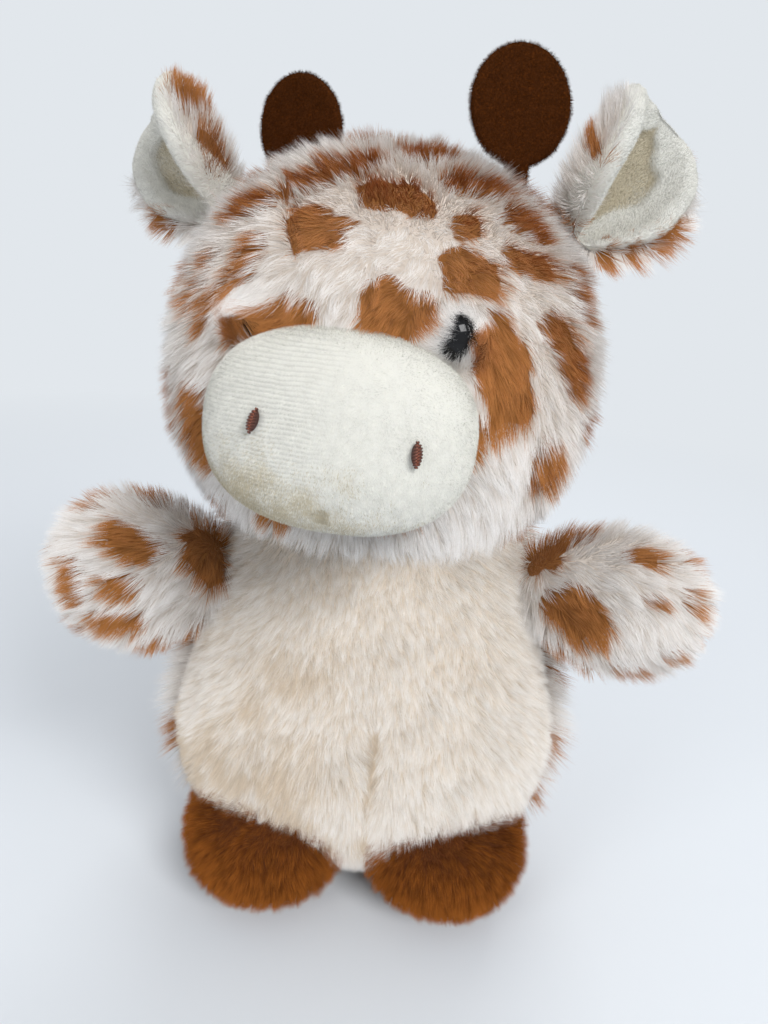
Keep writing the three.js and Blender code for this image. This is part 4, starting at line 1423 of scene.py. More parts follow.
MUZZLE_DART = ((322, 517), (321, 526))
NAP_ROUND_NOSTRIL = (0.6, 0.9)
NOSTRIL_ZONE_DEPTH = 3 * MM
PAD_SHARE = 0.78
MUZZLE_ROOT_BARE = 3 * MM
MUZZLE_DART_DIP = 0.6 * MM
MUZZLE_DART_WIDTH = 0.7 * MM
MUZZLE_DART_LINE = 0.5 * MM

# The muzzle's tone: painted shade, warm with bounce light, low down towards its right; random patches; and
# painted shade in the crease along the dart
MUZZLE_LOW = (8 * MM, -17 * MM)
MUZZLE_ASIDE = (30 * MM, -20 * MM)
MUZZLE_TONE = 0.1
MUZZLE_LOW_PAINTED_SHADE = 0.62
MUZZLE_PATCHES = 0.22
MUZZLE_PATCH_SIZE = 5 * MM
MUZZLE_DART_PAINTED_SHADE = 0.6

# Its knitted rows show most towards its right
KNIT_SHOWS = (7 * MM, -9 * MM)
KNIT_PATCHES = 0.4
KNIT_PATCH_SIZE = 9 * MM


def nostril_frame(name, side, skin):
    """A nostril's seat on the muzzle, facing out of it along its own -Y."""
    height = MUZZLE_CENTRE.z + NOSTRIL_RAISE[name]
    start = HEAD_PLACE @ Vector((side * NOSTRIL_SPREAD[name], -HEAD_DEPTH, height))
    place, normal, _, _ = skin.ray_cast(start, HEAD_TURNED.to_3x3() @ Vector((0, 1, 0)))
    up = HEAD_TURNED.to_3x3() @ turned(("Y", NOSTRIL_TURN[name])).to_3x3() @ Vector((0, 0, 1))
    up = (up - normal * up.dot(normal)).normalized()
    right = up.cross(normal)
    grid = Matrix((right, -normal, up)).transposed().to_4x4()
    return placed(place, grid)


def make_muzzle():
    directions, faces = ball(6)
    outer = MUZZLE_FORM.points(directions)
    skin = skin_of(outer, faces)
    normals = normals_of(outer, faces)
    local = moved(MUZZLE_FORM.place.inverted(), outer)
    distance, _ = nearest_on_path(outer, seen_path(skin, MUZZLE_DART))
    dip = MUZZLE_DART_DIP * hump(distance, MUZZLE_DART_WIDTH)
    base = MUZZLE_FORM.points(directions, NAP_DEPTH) - normals * dip[:, None]
    # Painted shade, warm with bounce light, low down towards the muzzle's right
    low = blend_in(*MUZZLE_LOW, local[:, 1]) * blend_in(*MUZZLE_ASIDE, local[:, 0])
    tone = MUZZLE_TONE + MUZZLE_LOW_PAINTED_SHADE * low + MUZZLE_PATCHES * rough(outer, MUZZLE_PATCH_SIZE, 22)
    # Painted shade in the crease along the dart
    tone = tone + MUZZLE_DART_PAINTED_SHADE * hump(distance, MUZZLE_DART_LINE)
    knit = blend_in(*KNIT_SHOWS, local[:, 0]) + KNIT_PATCHES * rough(outer, KNIT_PATCH_SIZE, 21)
    covers = ("muzzle_cover",)
    backing = ("muzzle_dome", "head", "velboa", "velboa_knit")
    dome = backed(*backing, base, faces, tone, covers, fill=0.9)
    set_attribute(dome.data, "knit", np.clip(knit, 0, 1))
    cover = blend_in(-MUZZLE_ROOT, -MUZZLE_ROOT + MUZZLE_ROOT_BARE, local[:, 2])
    for name, side in SIDES:
        seat = moved(nostril_frame(name, side, skin).inverted(), outer)
        oval = np.hypot(seat[:, 0] / (NOSTRIL_WIDTH / 2), seat[:, 2] / (NOSTRIL_HEIGHT / 2))
        near = np.abs(seat[:, 1]) < NOSTRIL_ZONE_DEPTH
        cover = cover * np.where(near, blend_in(*NAP_ROUND_NOSTRIL, oval), 1)
    comb = nap_on(outer, normals, -np.array(HEAD_TURNED)[:3, 2], (*MUZZLE_WAVE, 23))
    coat = Coat(base, faces, comb, tone, cover, np.ones(len(outer)))
    coat.grow("muzzle_nap", "head", "velboa", "velboa", 5)


def make_nostrils():
    directions, faces = ball(6)
    skin = skin_of(MUZZLE_FORM.points(directions), faces)
    bead, bead_faces = ball(3)
    pad = bead * np.array([NOSTRIL_WIDTH / 2, NOSTRIL_PAD, NOSTRIL_HEIGHT / 2]) * PAD_SHARE
    for name, side in SIDES:
        seat = nostril_frame(name, side, skin)
        under = mesh_object(f"nostril_{name}_pad", moved(seat, pad), bead_faces, finish("thread"))
        # The pad takes the threads' darkest colour, as painted shade between the threads
        set_attribute(under.data, "along", np.ones(len(pad)))
        fitted(under, "head", (f"nostril_{name}",))
        source = mesh_object(f"nostril_{name}_line", np.zeros((1, 3)), np.zeros((0, 3), int))
        values = {"Material": finish("thread")}
        stitches = modified(source, f"nostril_{name}_stitches", "Satin stitches", values)
        stitches.data.transform(seat)
        fitted(stitches, "head")


DOME_STEPS = 14
EYE_FLANGE = 0.5 * MM
EYE_BEVEL = 0.2 * MM
SHANK_BEVEL = 0.4 * MM


def make_eyes():
    back = EYE_STANDS_OUT - EYE_DOME
    flange = back - EYE_FLANGE
    profile = [
        (SHANK_RADIUS * 0.5, SHANK_END),
        (SHANK_RADIUS, SHANK_END + SHANK_BEVEL),
        (SHANK_RADIUS, flange),
        (EYE_RADIUS * 0.9, flange),
        (EYE_RADIUS * 0.99, flange + EYE_BEVEL),
    ]
    for step in range(DOME_STEPS):
        angle = math.radians(90) * step / DOME_STEPS
        profile.append((EYE_RADIUS * math.cos(angle), back + EYE_DOME * math.sin(angle)))
    profile.append((EYE_RADIUS * 0.03, EYE_STANDS_OUT))
    for name, side in SIDES:
        points, faces = spun(profile, eye_frame(side))
        eye = mesh_object(f"eye_{name}_dome", points, faces, finish("eye"))
        fitted(eye, "head", (f"eye_{name}",))
        washer = frame["nodes"][f"eye_washer_{name}"]
        washer.data.materials.clear()
        washer.data.materials.append(finish("washer"))


# Horns: an oval of felt on a narrow stem

HORN_EDGE_STEPS = (0, 30, 60, 90)
HORN_EDGE_SHARE = 0.06
HORN_RINGS = (0.8, 0.6, 0.4, 0.2, 0.05)
HORN_SEGMENTS = 160
FELT_ROUGHNESS = 0.12 * MM
FELT_LUMPS = 3 * MM
FELT_TONE = 0.5
FUZZ_LENGTH = 1.0 * MM
FUZZ_STRAY = 1.4


def horn_outline(angle):
    """The reach from the oval's middle at an angle, where -90 degrees looks down the stem."""
    across, up = np.cos(angle), np.sin(angle)
    oval = 1 / np.hypot(across / (HORN_WIDTH / 2), up / (HORN_OVAL_HEIGHT / 2))
    side = (HORN_STEM_WIDTH / 2) / np.maximum(np.abs(across), 1e-6)
    foot = (HORN_OVAL_HEIGHT / 2 + 2 * HORN_STEM_LENGTH) / np.maximum(-up, 1e-6)
    return np.where(up < 0, np.maximum(oval, np.minimum(side, foot)), oval)


def make_horns():
    edge = HORN_FELT / 2
    rounding = [(math.cos(a), math.sin(a)) for a in np.radians(HORN_EDGE_STEPS)]
    rings = [(1 - HORN_EDGE_SHARE * (1 - c), edge * s) for c, s in rounding]
    rings += [(share, edge * (1 + HORN_EDGE_SHARE * (1 - share))) for share in HORN_RINGS]
    profile = [(share, -height) for share, height in reversed(rings[1:])] + rings
    middle = placed(Vector((0, 0, HORN_STEM_LENGTH + HORN_OVAL_HEIGHT / 2)), turned(("X", 90)))
    for number, (name, side) in enumerate(SIDES):
        body = f"horn_{name}"
        outward = (("Z", side * HORN_TURN_OUT[name]), ("Y", -side * HORN_LEAN_IN[name]))
        lie = turned(("X", -HORN_LEAN_BACK[name]), *outward)
        place = placed(JOINTS[f"{body}_bend"], HEAD_TURNED @ lie)
        points, faces = spun(profile, place @ middle, horn_outline, HORN_SEGMENTS)
        normals = normals_of(points, faces)
        lumps = FELT_ROUGHNESS * rough(points, FELT_LUMPS, 31 + number)
        points = points + normals * lumps[:, None]
        slab = mesh_object(f"{body}_felt", points, faces, finish("felt"))
        fitted(slab, body, (body,))
        comb = nap_on(points, normals, DOWN, (*FELT_WAVE, 33))
        even = np.ones(len(points))
        coat = Coat(points, faces, comb, even * FELT_TONE, even, even)
        changes = {"Length": FUZZ_LENGTH, "Stray": FUZZ_STRAY}
        coat.grow(f"{body}_fuzz", body, "felt", "felt_fuzz", 35 + number, **changes)


# Ears: a velboa lining with a rolled rim, inside a layer of fur

EAR_ROWS = 46
EAR_COLUMNS = 60
EAR_RIM_STEPS = 160
EAR_CLOSING = 1.7
EAR_FOLDS = 0.35 * MM
EAR_FOLD_SIZE = 5 * MM
SMALL_STEP = 0.1 * MM

# Spots that the photograph shows on the inner flap's fur, as those of the head
EAR_SPOTS = {
    "left": ((592, 146, 15, 2, 100), (566, 222, 6, 5, 0), (545, 168, 4, 3, 0)),
    "right": ((190, 100, 14, 9, -35), (213, 154, 10, 7, -60), (233, 152, 7, 4.5, -60)),
}

# Spots on the fur beyond the outer flap's rim: height and place across the leaf, length and width
EAR_RIM_SPOTS = {
    "left": ((11, -0.95, 7, 6), (5, -0.95, 3, 3), (1.5, -0.95, 2.5, 3), (22, -0.5, 7, 6), (14, -0.2, 9, 7)),
    "right": ((8, -0.9, 6, 5), (18, -0.6, 9, 7), (9, -0.2, 8, 6)),
}


def ear_leaf(height, across, offset, reach, inward):
    """Points of the rolled leaf. Across runs from -1 on the outer flap to 1 on the inner one."""
    toward_widest = np.sin(np.pi / 2 * np.minimum(1, height / EAR_WIDEST_AT))
    opened = EAR_ROOT_SHARE + (1 - EAR_ROOT_SHARE) * toward_widest
    inner = across > 0
    flap = np.where(inner, EAR_INNER_FLAP, EAR_OUTER_FLAP)
    flap_curl = np.where(inner, EAR_INNER_FLAP_CURL, EAR_OUTER_FLAP_CURL)
    unrolling = np.sqrt(np.clip(height / EAR_LENGTH, 0, 1))
    radius = flap * opened / np.radians(EAR_ROOT_CURL + (flap_curl - EAR_ROOT_CURL) * unrolling)
    past = np.maximum(0, (height - EAR_WIDEST_AT) / (EAR_LENGTH + reach - EAR_WIDEST_AT))
    drawn_in = np.maximum(0, 1 - past**EAR_TIP_FULLNESS) ** (1 / EAR_TIP_FULLNESS)
    half_width = (flap + reach) * opened * drawn_in
    angle = across * half_width / radius
    outward = radius + offset
    sideways = inward * outward * np.sin(angle)
    points = np.stack([sideways, outward * np.cos(angle) - radius, height], axis=-1)
    return points, across * half_width


def ear_grid(reach):
    """Heights and places across for a sheet of rows and columns, closer together at its rim."""
    top = EAR_LENGTH + reach - EAR_TIP_CUT
    rows = np.linspace(0, 1, EAR_ROWS + 1)
    height = top * (1 - (1 - rows) ** EAR_CLOSING)
    across = np.sin(np.pi / 2 * np.linspace(-1, 1, EAR_COLUMNS + 1))
    return np.broadcast_arrays(height[:, None], across[None, :])


def rim_distance(height, span, reach):
    """How far each place of the flattened leaf is from its edge."""
    top = EAR_LENGTH + reach - EAR_TIP_CUT
    edge_height = top * (1 - (1 - np.linspace(0, 1, EAR_RIM_STEPS)) ** EAR_CLOSING)
    result = np.full(height.shape, np.inf)
    for side in (-1.0, 1.0):
        _, edge = ear_leaf(edge_height, np.full(EAR_RIM_STEPS, side), 0.0, reach, 1)
        for edge_span, edge_up in zip(edge, edge_height):
            result = np.minimum(result, np.hypot(span - edge_span, height - edge_up))
    return result


def ear_shell(front, back, height, across, reach, inward, place):
    """A closed sheet between two offsets that may vary over it."""
    near, _ = ear_leaf(height, across, front, reach, inward)
    far, _ = ear_leaf(height, across, back, reach, inward)
    rings = [np.concatenate([near[row], far[row][-2:0:-1]]) for row in range(len(near))]
    points, faces = tube(rings)
    return moved(place, points), faces


def ring_values(front, back):
    """Values of a shell's points in the order that ear_shell gives them."""
    rows = [np.concatenate([front[row], back[row][-2:0:-1]]) for row in range(len(front))]
    return np.concatenate([*rows, [rows[0].mean(axis=0)], [rows[-1].mean(axis=0)]])


LINING_TONE = 0.1
# Painted shade in the lining's hollow, deeper towards the inner flap; the patches are random
LINING_HOLLOW_PAINTED_SHADE = 0.55
LINING_INNER_PAINTED_SHADE = 0.3
LINING_PATCHES = 0.15
LINING_PATCH_SIZE = 5 * MM

# How far the lining's rolled rim and its flat bands fall off to the hollow
RIM_FALLS = 0.9 * EAR_RIM_RADIUS
BAND_FALLS = 0.6 * EAR_RIM_RADIUS

# Where things fade out and in: up the ear in shares of its length, or across from -1 to 1
FLAP_BAND_UP = (1.1, 0.75)
FLAP_BAND_ACROSS = (0.15, -0.35)
TIP_BAND_UP = (0.72, 0.95)
FOLDS_UP = (0.2, 1)
HOLLOW_ACROSS = (-0.3, 0.2)
RIM_SPREAD_ACROSS = (-0.55, -1)
RIM_FUR_ACROSS = (-0.6, -1)
SHORT_FUR_UP = (0.7, 1)
EDGE_FUR_WITHIN = (1.2 * MM, 0.2 * MM)

# The ear's fur spreads to its sides, and past the outer flap's rim it is long and dense
EAR_SPREAD = 0.9
EAR_RIM_SPREAD = 2.2
EAR_PILE = 0.85
EAR_RIM_LENGTHENS = 0.35
EAR_TIP_SHORTENS = 0.4
EAR_RIM_DENSITY = 3.0
EAR_FRONT_DENSITY = 2
EAR_FRONT_PILE = 0.5


def make_lining(name, number, side, place):
    """The velboa, rolled over the ear's rim, with a flat band on its outer flap and at its tip."""
    height, across = ear_grid(EAR_LINING_REACH)
    _, span = ear_leaf(height, across, 0.0, EAR_LINING_REACH, -side)
    inset = rim_distance(height, span, EAR_LINING_REACH)
    in_rim = inset < EAR_RIM_RADIUS
    share = np.clip((EAR_RIM_RADIUS - inset) / EAR_RIM_RADIUS, 0, 1)
    roll = EAR_RIM_RADIUS * np.where(in_rim, np.sqrt(1 - share**2), 0)
    fall = hump(np.maximum(inset - EAR_RIM_RADIUS, 0), RIM_FALLS)
    up = height / EAR_LENGTH
    outer_band = EAR_FLAP_BAND[name] * blend_in(*FLAP_BAND_UP, up) * blend_in(*FLAP_BAND_ACROSS, across)
    flap = EAR_RIM_RADIUS + np.maximum(outer_band, EAR_TIP_BAND * blend_in(*TIP_BAND_UP, up))
    step = hump(np.maximum(inset - flap, 0), BAND_FALLS)
    front = np.where(in_rim, EAR_RIM_CENTRE - roll, (EAR_RIM_CENTRE - EAR_RIM_RADIUS) * step)
    back_high = EAR_RIM_CENTRE + EAR_RIM_RADIUS - EAR_LINING_BACK
    back = np.where(in_rim, EAR_RIM_CENTRE + roll, EAR_LINING_BACK + back_high * fall)
    points, faces = ear_shell(front, back, height, across, EAR_LINING_REACH, -side, place)
    normals = normals_of(points, faces)
    flat = np.zeros(height.shape)
    folds = EAR_FOLDS * ring_values(blend_in(*FOLDS_UP, up), flat)
    points = points + normals * (folds * rough(points, EAR_FOLD_SIZE, 41 + number))[:, None]
    # The hollow inside the rim is painted darker as shade
    hollow = ring_values(1 - step * ~in_rim, flat) * (1 - ring_values(in_rim, flat > 0))
    shaded = LINING_HOLLOW_PAINTED_SHADE + LINING_INNER_PAINTED_SHADE * blend_in(*HOLLOW_ACROSS, across)
    patchy = LINING_PATCHES * rough(points, LINING_PATCH_SIZE, 43)
    tone = LINING_TONE + ring_values(shaded, flat) * hollow + patchy
    body = f"ear_{name}"
    covers = (f"{body}_lining",)
    backed(f"{body}_velboa", body, "velboa", "velboa_knit", points, faces, tone, covers)
    comb = nap_on(points, normals, np.array(place)[:3, 2], (*LINING_WAVE, 44))
    seen = ring_values(flat + 1, blend_in(3 * EAR_RIM_RADIUS, 2 * EAR_RIM_RADIUS, inset))
    coat = Coat(points, faces, comb, tone, seen, np.ones(len(points)))
    coat.grow(f"{body}_nap", body, "velboa", "velboa", 45 + number)


def make_ear_fur(name, number, side, place):
    """The spotted fur behind the lining, longest where it stands out past the outer flap's rim."""
    height, across = ear_grid(EAR_FUR_REACH)
    _, span = ear_leaf(height, across, 0.0, EAR_FUR_REACH, -side)
    flat = np.ones(height.shape)
    front, back = (flat * offset for offset in EAR_BACKING)
    points, faces = ear_shell(front, back, height, across, EAR_FUR_REACH, -side, place)
    normals = normals_of(points, faces)
    here, _ = ear_leaf(height, across, back, EAR_FUR_REACH, -side)
    up, _ = ear_leaf(height + SMALL_STEP, across, back, EAR_FUR_REACH, -side)
    beside, _ = ear_leaf(height, across * 1.01, back, EAR_FUR_REACH, -side)
    spread = EAR_SPREAD * across**2 + EAR_RIM_SPREAD * blend_in(*RIM_SPREAD_ACROSS, across)
    flow = unit(up - here) + spread[..., None] * unit(beside - here)
    flow = ring_values(flow, flow) @ np.array(place)[:3, :3].T
    comb = nap_on(points, normals, flow, (*EAR_WAVE, 46 + number))
    spots = seen_spots(skin_of(points, faces), EAR_SPOTS[name])
    for spot_height, spot_across, length, width in EAR_RIM_SPOTS[name]:
        leaf = np.array([spot_height * MM, spot_height * MM + SMALL_STEP]), np.array([spot_across] * 2)
        centre, above = moved(place, ear_leaf(*leaf, EAR_BACKING[1], EAR_FUR_REACH, -side)[0])
        normal = normals[np.argmin(np.linalg.norm(points - centre, axis=1))]
        spots.append(make_spot(centre, normal, unit(above - centre), length * MM, width * MM))
    tone = spottiness(points, spots)
    at_rim = blend_in(*RIM_FUR_ACROSS, across)
    edge = rim_distance(height, span, EAR_FUR_REACH)
    at_edge = EAR_FRONT_DENSITY * blend_in(*EDGE_FUR_WITHIN, edge)
    cover = ring_values(at_edge, 1 + EAR_RIM_DENSITY * at_rim)
    long = EAR_PILE + EAR_RIM_LENGTHENS * at_rim
    long = long - EAR_TIP_SHORTENS * blend_in(*SHORT_FUR_UP, height / EAR_LENGTH)
    pile = ring_values(EAR_FRONT_PILE * flat, long)
    pile = pile + FUR_UNEVENNESS * rough(points, PLUSH_UNEVEN_SIZE, 48)
    body = f"ear_{name}"
    covers = (f"{body}_outer",)
    backed(f"{body}_backing", body, "spotted_fur", "fur_knit", points, faces, tone, covers)
    coat = Coat(points, faces, comb, tone, cover, pile)
    coat.grow(f"{body}_pile", body, "spotted_fur", "fur", 50 + number)


def make_ears():
    for number, (name, side) in enumerate(SIDES):
        lie = turned(("Y", side * (90 - EAR_RAISE[name])), ("Z", side * EAR_ROLL_OUT))
        place = placed(JOINTS[f"ear_{name}_flop"], HEAD_TURNED @ lie)
        make_lining(name, number, side, place)
        make_ear_fur(name, number, side, place)


# Body

BELLY_DART = ((376, 737), (371, 790), (364, 866))
BELLY_DART_DIP = 2.4 * MM
BELLY_DART_WIDTH = 2.2 * MM
SIDE_SEAM_DIP = 1.2 * MM
SIDE_SEAM_WIDTH = 2 * MM

# Half the width over which one fabric gives way to the other, and over which fur ends at the neck
SEAM_BLEND = 0.3 * MM
NECK_BLEND = 1 * MM
LOWEST_BACKING = 1.2 * MM
BACK_SPOTS = ((185, 600, 10, 7, 80),)
BACK_SPOT_SPACING = 11 * MM
BACK_DENSITY = 6.5 / MM**2

# The belly's tone: painted shade towards its right, deeper low down; random patches, stronger on that side;
# and painted shade in the crease along the dart
BELLY_ASIDE = (14 * MM, -20 * MM)
BELLY_LOW = (60 * MM, 25 * MM)
BELLY_TONE = -0.1
BELLY_SIDE_PAINTED_SHADE = 0.35
BELLY_LOW_PAINTED_SHADE = 0.35
BELLY_PATCHES = 0.4
BELLY_SIDE_PATCHES = 0.7
BELLY_PATCH_SIZES = (12 * MM, 2.6 * MM)
BELLY_DART_PAINTED_SHADE = 0.9
BELLY_DART_LINE = 1.8 * MM
BELLY_DART_GATHERS = -0.7

# Beside the side seam the plush is short and the fur stands out past it
SEAM_SHORTENS = 0.55
SEAM_PLUSH_WIDTH = 4.5 * MM
SEAM_LENGTHENS = 0.75
SEAM_LIFTS = 0.6
SEAM_FUR_WIDTH = 7 * MM
BACK_PARTING = 0.8

# Spots beside the left seam, half hidden by the arm
SIDE_SPOT_HEIGHTS = (60 * MM, 36 * MM)
SIDE_SPOT_SIZE = (12 * MM, 9 * MM)
SIDE_SPOT_BACK = 5 * MM


def cut_half(points, faces, level, sign):
    """The closed part of a form on one side of an upright plane."""
    grid = bmesh.new()
    corners = [grid.verts.new(p) for p in points]
    for face in faces:
        grid.faces.new([corners[i] for i in face])
    whole = [*grid.verts, *grid.edges, *grid.faces]
    plane = {"plane_co": (0, level, 0), "plane_no": (0, sign, 0)}
    bmesh.ops.bisect_plane(grid, geom=whole, clear_outer=True, **plane)
    open_edges = [edge for edge in grid.edges if edge.is_boundary]
    bmesh.ops.holes_fill(grid, edges=open_edges)
    bmesh.ops.recalc_face_normals(grid, faces=grid.faces)
    return grid


def shell_object(name, grid, material):
    mesh = bpy.data.meshes.new(name)
    grid.to_mesh(mesh)
    grid.free()
    mesh.shade_smooth()
    mesh.materials.append(material)
    made = bpy.data.objects.new(name, mesh)
    bpy.context.scene.collection.objects.link(made)
    return made


def make_body():
    directions, faces = ball(6)
    outer = BODY_FORM.points(directions)
    normals = normals_of(outer, faces)
    seam_y = SHIFT.y + BELLY_SEAM_Y
    x, y, z = outer.T - np.array([[SHIFT.x], [0], [0]])
    belly = blend_in(seam_y + SEAM_BLEND, seam_y - SEAM_BLEND, y)
    skin = skin_of(outer, faces)
    dart = seen_path(skin, BELLY_DART)
    distance, _ = nearest_on_path(outer, dart)
    crease = BELLY_DART_DIP * hump(distance, BELLY_DART_WIDTH)
    crease = crease + SIDE_SEAM_DIP * hump(y - seam_y, SIDE_SEAM_WIDTH)
    deep = BODY_FORM.points(directions, FUR_DEPTH)
    shallow = BODY_FORM.points(directions, BELLY_DEPTH)
    base = deep + (shallow - deep) * belly[:, None] - normals * crease[:, None]
    top = NECK_RING.z - NECK_CLEARANCE
    base[:, 2] = np.clip(base[:, 2], LOWEST_BACKING, top)
    below_neck = blend_in(top + NECK_BLEND, top - NECK_BLEND, z)

    # Front panel of cream plush
    comb = nap_on(outer, normals, DOWN, (*BELLY_WAVE, 51), (*BELLY_RIPPLE, 52))
    pile = 1 + PLUSH_UNEVENNESS * rough(outer, PLUSH_UNEVEN_SIZE, 53)
    pile = pile - SEAM_SHORTENS * hump(y - seam_y, SEAM_PLUSH_WIDTH)
    cover = below_neck * belly
    comb, cover, pile = parted(outer, normals, comb, cover, pile, dart, BELLY_DART_GATHERS)
    sideways = blend_in(*BELLY_ASIDE, x)
    low = blend_in(*BELLY_LOW, z)
    large, small = BELLY_PATCH_SIZES
    patchy = 0.5 * rough(outer, large, 54) + 0.5 * rough(outer, small, 55)
    # Painted shade on the side away from the light, deepest low down
    tone = BELLY_TONE + (BELLY_SIDE_PAINTED_SHADE + BELLY_LOW_PAINTED_SHADE * low) * sideways
    tone = tone + (BELLY_PATCHES + BELLY_SIDE_PATCHES * sideways) * patchy
    # Painted shade in the crease along the dart
    tone = tone + BELLY_DART_PAINTED_SHADE * hump(distance, BELLY_DART_LINE)
    panel = shell_object("belly_backing", cut_half(base, faces, seam_y, 1), finish("belly_knit"))
    fitted(panel, "torso", ("belly_panel", "body_stuffing"))
    coat = Coat(base, faces, comb, tone, cover, pile)
    for seed, (name, side) in enumerate(SIDES):
        own = outer[:, 0] * side >= 0
        coat.grow(f"belly_{name}_pile", "torso", "cream_plush", "belly", 60 + seed, own)

    # Back panels of printed fur
    comb = nap_on(outer, normals, DOWN, (*FUR_WAVE, 56), (*FUR_RIPPLE, 57))
    spots = seen_spots(skin, BACK_SPOTS)
    for height in SIDE_SPOT_HEIGHTS:
        wanted = np.array([SHIFT.x + BODY_WIDTH / 2, seam_y + SIDE_SPOT_BACK, height])
        index = np.argmin(np.linalg.norm(outer - wanted, axis=1))
        spots.append(make_spot(outer[index], normals[index], -DOWN, *SIDE_SPOT_SIZE))
    spots = hidden_spots(outer, normals, spots, BACK_SPOT_SPACING, 8)
    tone = spottiness(outer + comb * TIP_DRIFT, spots)
    cover = below_neck * (1 - belly) * blend_in(PARTING_BARE, PARTING_WIDTH, np.abs(x))
    outward = np.sign(x)[:, None] * np.array([1, 0, 0])
    comb = comb + BACK_PARTING * hump(x, PARTING_REACH)[:, None] * outward
    comb = unit(along_surface(comb, normals))
    at_seam = hump(y - seam_y, SEAM_FUR_WIDTH)
    comb = comb * (1 - SEAM_LIFTS * at_seam)[:, None]
    pile = 1 + FUR_UNEVENNESS * rough(outer, FUR_UNEVEN_SIZE, 58) + SEAM_LENGTHENS * at_seam
    panels = shell_object("body_back_backing", cut_half(base, faces, seam_y, -1), finish("fur_knit"))
    covers = ("body_back_left_panel", "body_back_right_panel")
    fitted(panels, "torso", covers)
    coat = Coat(base, faces, comb, tone, cover, pile)
    sparser = {"Density": BACK_DENSITY}
    for seed, (name, side) in enumerate(SIDES):
        own = outer[:, 0] * side >= 0
        coat.grow(f"body_back_{name}_pile", "torso", "spotted_fur", "fur", 62 + seed, own, **sparser)


# Arms, feet and tail

ARM_SPOTS = {
    "right": (
        (116, 540, 18, 9, -20),
        (219, 553, 21, 16, -75),
        (103, 596, 11, 7.5, -20),
        (105, 637, 15, 8, -5),
        (50, 583, 13, 6, -75),
    ),
    "left": (
        (532, 541, 19, 15, 30),
        (590, 520, 9, 6, -10),
        (663, 553, 11, 7, -15),
        (578, 630, 17, 15, -60),
        (672, 611, 6, 3, 0),
        (718, 608, 8, 5, 90),
        (690, 668, 7, 4, 20),
    ),
}

ARM_SPOT_SPACING = 9 * MM
ARM_PILE = 0.9
ARM_FALL = 0.4

# Feet: the nap runs forward and down, and outward by a share
FOOT_FLOW = (0.2, -0.8, -0.8)
FOOT_TONE = 0.35
FOOT_PATCHES = 0.5


def make_arms():
    directions, faces = ball(5)
    for number, (name, side) in enumerate(SIDES):
        body = f"arm_{name}"
        form = arm_form(name, side)
        outer = form.points(directions)
        base = form.points(directions, FUR_DEPTH)
        normals = normals_of(outer, faces)
        flow = np.array(form.place)[:3, 2] * -1 + ARM_FALL * DOWN
        comb = nap_on(outer, normals, flow, (*ARM_WAVE, 70 + number), (*ARM_RIPPLE, 72))
        spots = seen_spots(skin_of(outer, faces), ARM_SPOTS[name])
        spots = hidden_spots(outer, normals, spots, ARM_SPOT_SPACING, 14 + number)
        tone = spottiness(outer + comb * TIP_DRIFT, spots)
        covers = tuple(f"{body}_{part}" for part in ("front_cover", "back_cover", "stuffing"))
        backing = (f"{body}_backing", body, "spotted_fur", "fur_knit")
        backed(*backing, base, faces, tone, covers, fill=0.8)
        pile = ARM_PILE + FUR_UNEVENNESS * rough(outer, FUR_UNEVEN_SIZE, 73)
        coat = Coat(base, faces, comb, tone, np.ones(len(base)), pile)
        coat.grow(f"{body}_pile", body, "spotted_fur", "fur", 74 + number)


def make_feet():
    directions, faces = ball(5)
    for number, (name, side) in enumerate(SIDES):
        form = foot_form(side)
        outer = form.points(directions)
        base = form.points(directions, FOOT_DEPTH)
        base[:, 2] = np.maximum(base[:, 2], LOWEST_BACKING)
        normals = normals_of(outer, faces)
        flow = np.array(FOOT_FLOW) * (side, 1, 1)
        comb = nap_on(outer, normals, flow, (*FOOT_WAVE, 80 + number), (*FOOT_RIPPLE, 82))
        tone = FOOT_TONE + FOOT_PATCHES * rough(outer, PLUSH_UNEVEN_SIZE, 83)
        part = f"foot_{name}"
        covers = (f"{part}_cover", f"{part}_stuffing")
        backing = (f"{part}_backing", "torso", "brown_plush", "foot_knit")
        backed(*backing, base, faces, tone, covers, fill=0.9)
        pile = 1 + FUR_UNEVENNESS * rough(outer, PLUSH_UNEVEN_SIZE, 84)
        coat = Coat(base, faces, comb, tone, np.ones(len(base)), pile)
        coat.grow(f"{part}_pile", "torso", "brown_plush", "foot", 85 + number)


CORD_FULLNESS = {"top": 4, "base": 4, "plan": 2}
TUFT_FULLNESS = {"top": 2, "base": 2, "plan": 2}
TAIL_BACKING_DEPTH = 2.2 * MM
TAIL_PILE = {"Length": 4 * MM}
TAIL_SPOT_SPACING = 9 * MM
TAIL_SPOT_SHRINK = 0.7
TUFT_BACKING_DEPTH = 3.4 * MM
TUFT_PILE = {"Length": 8 * MM, "Lean": 1.6}
TUFT_TONE = 0.4


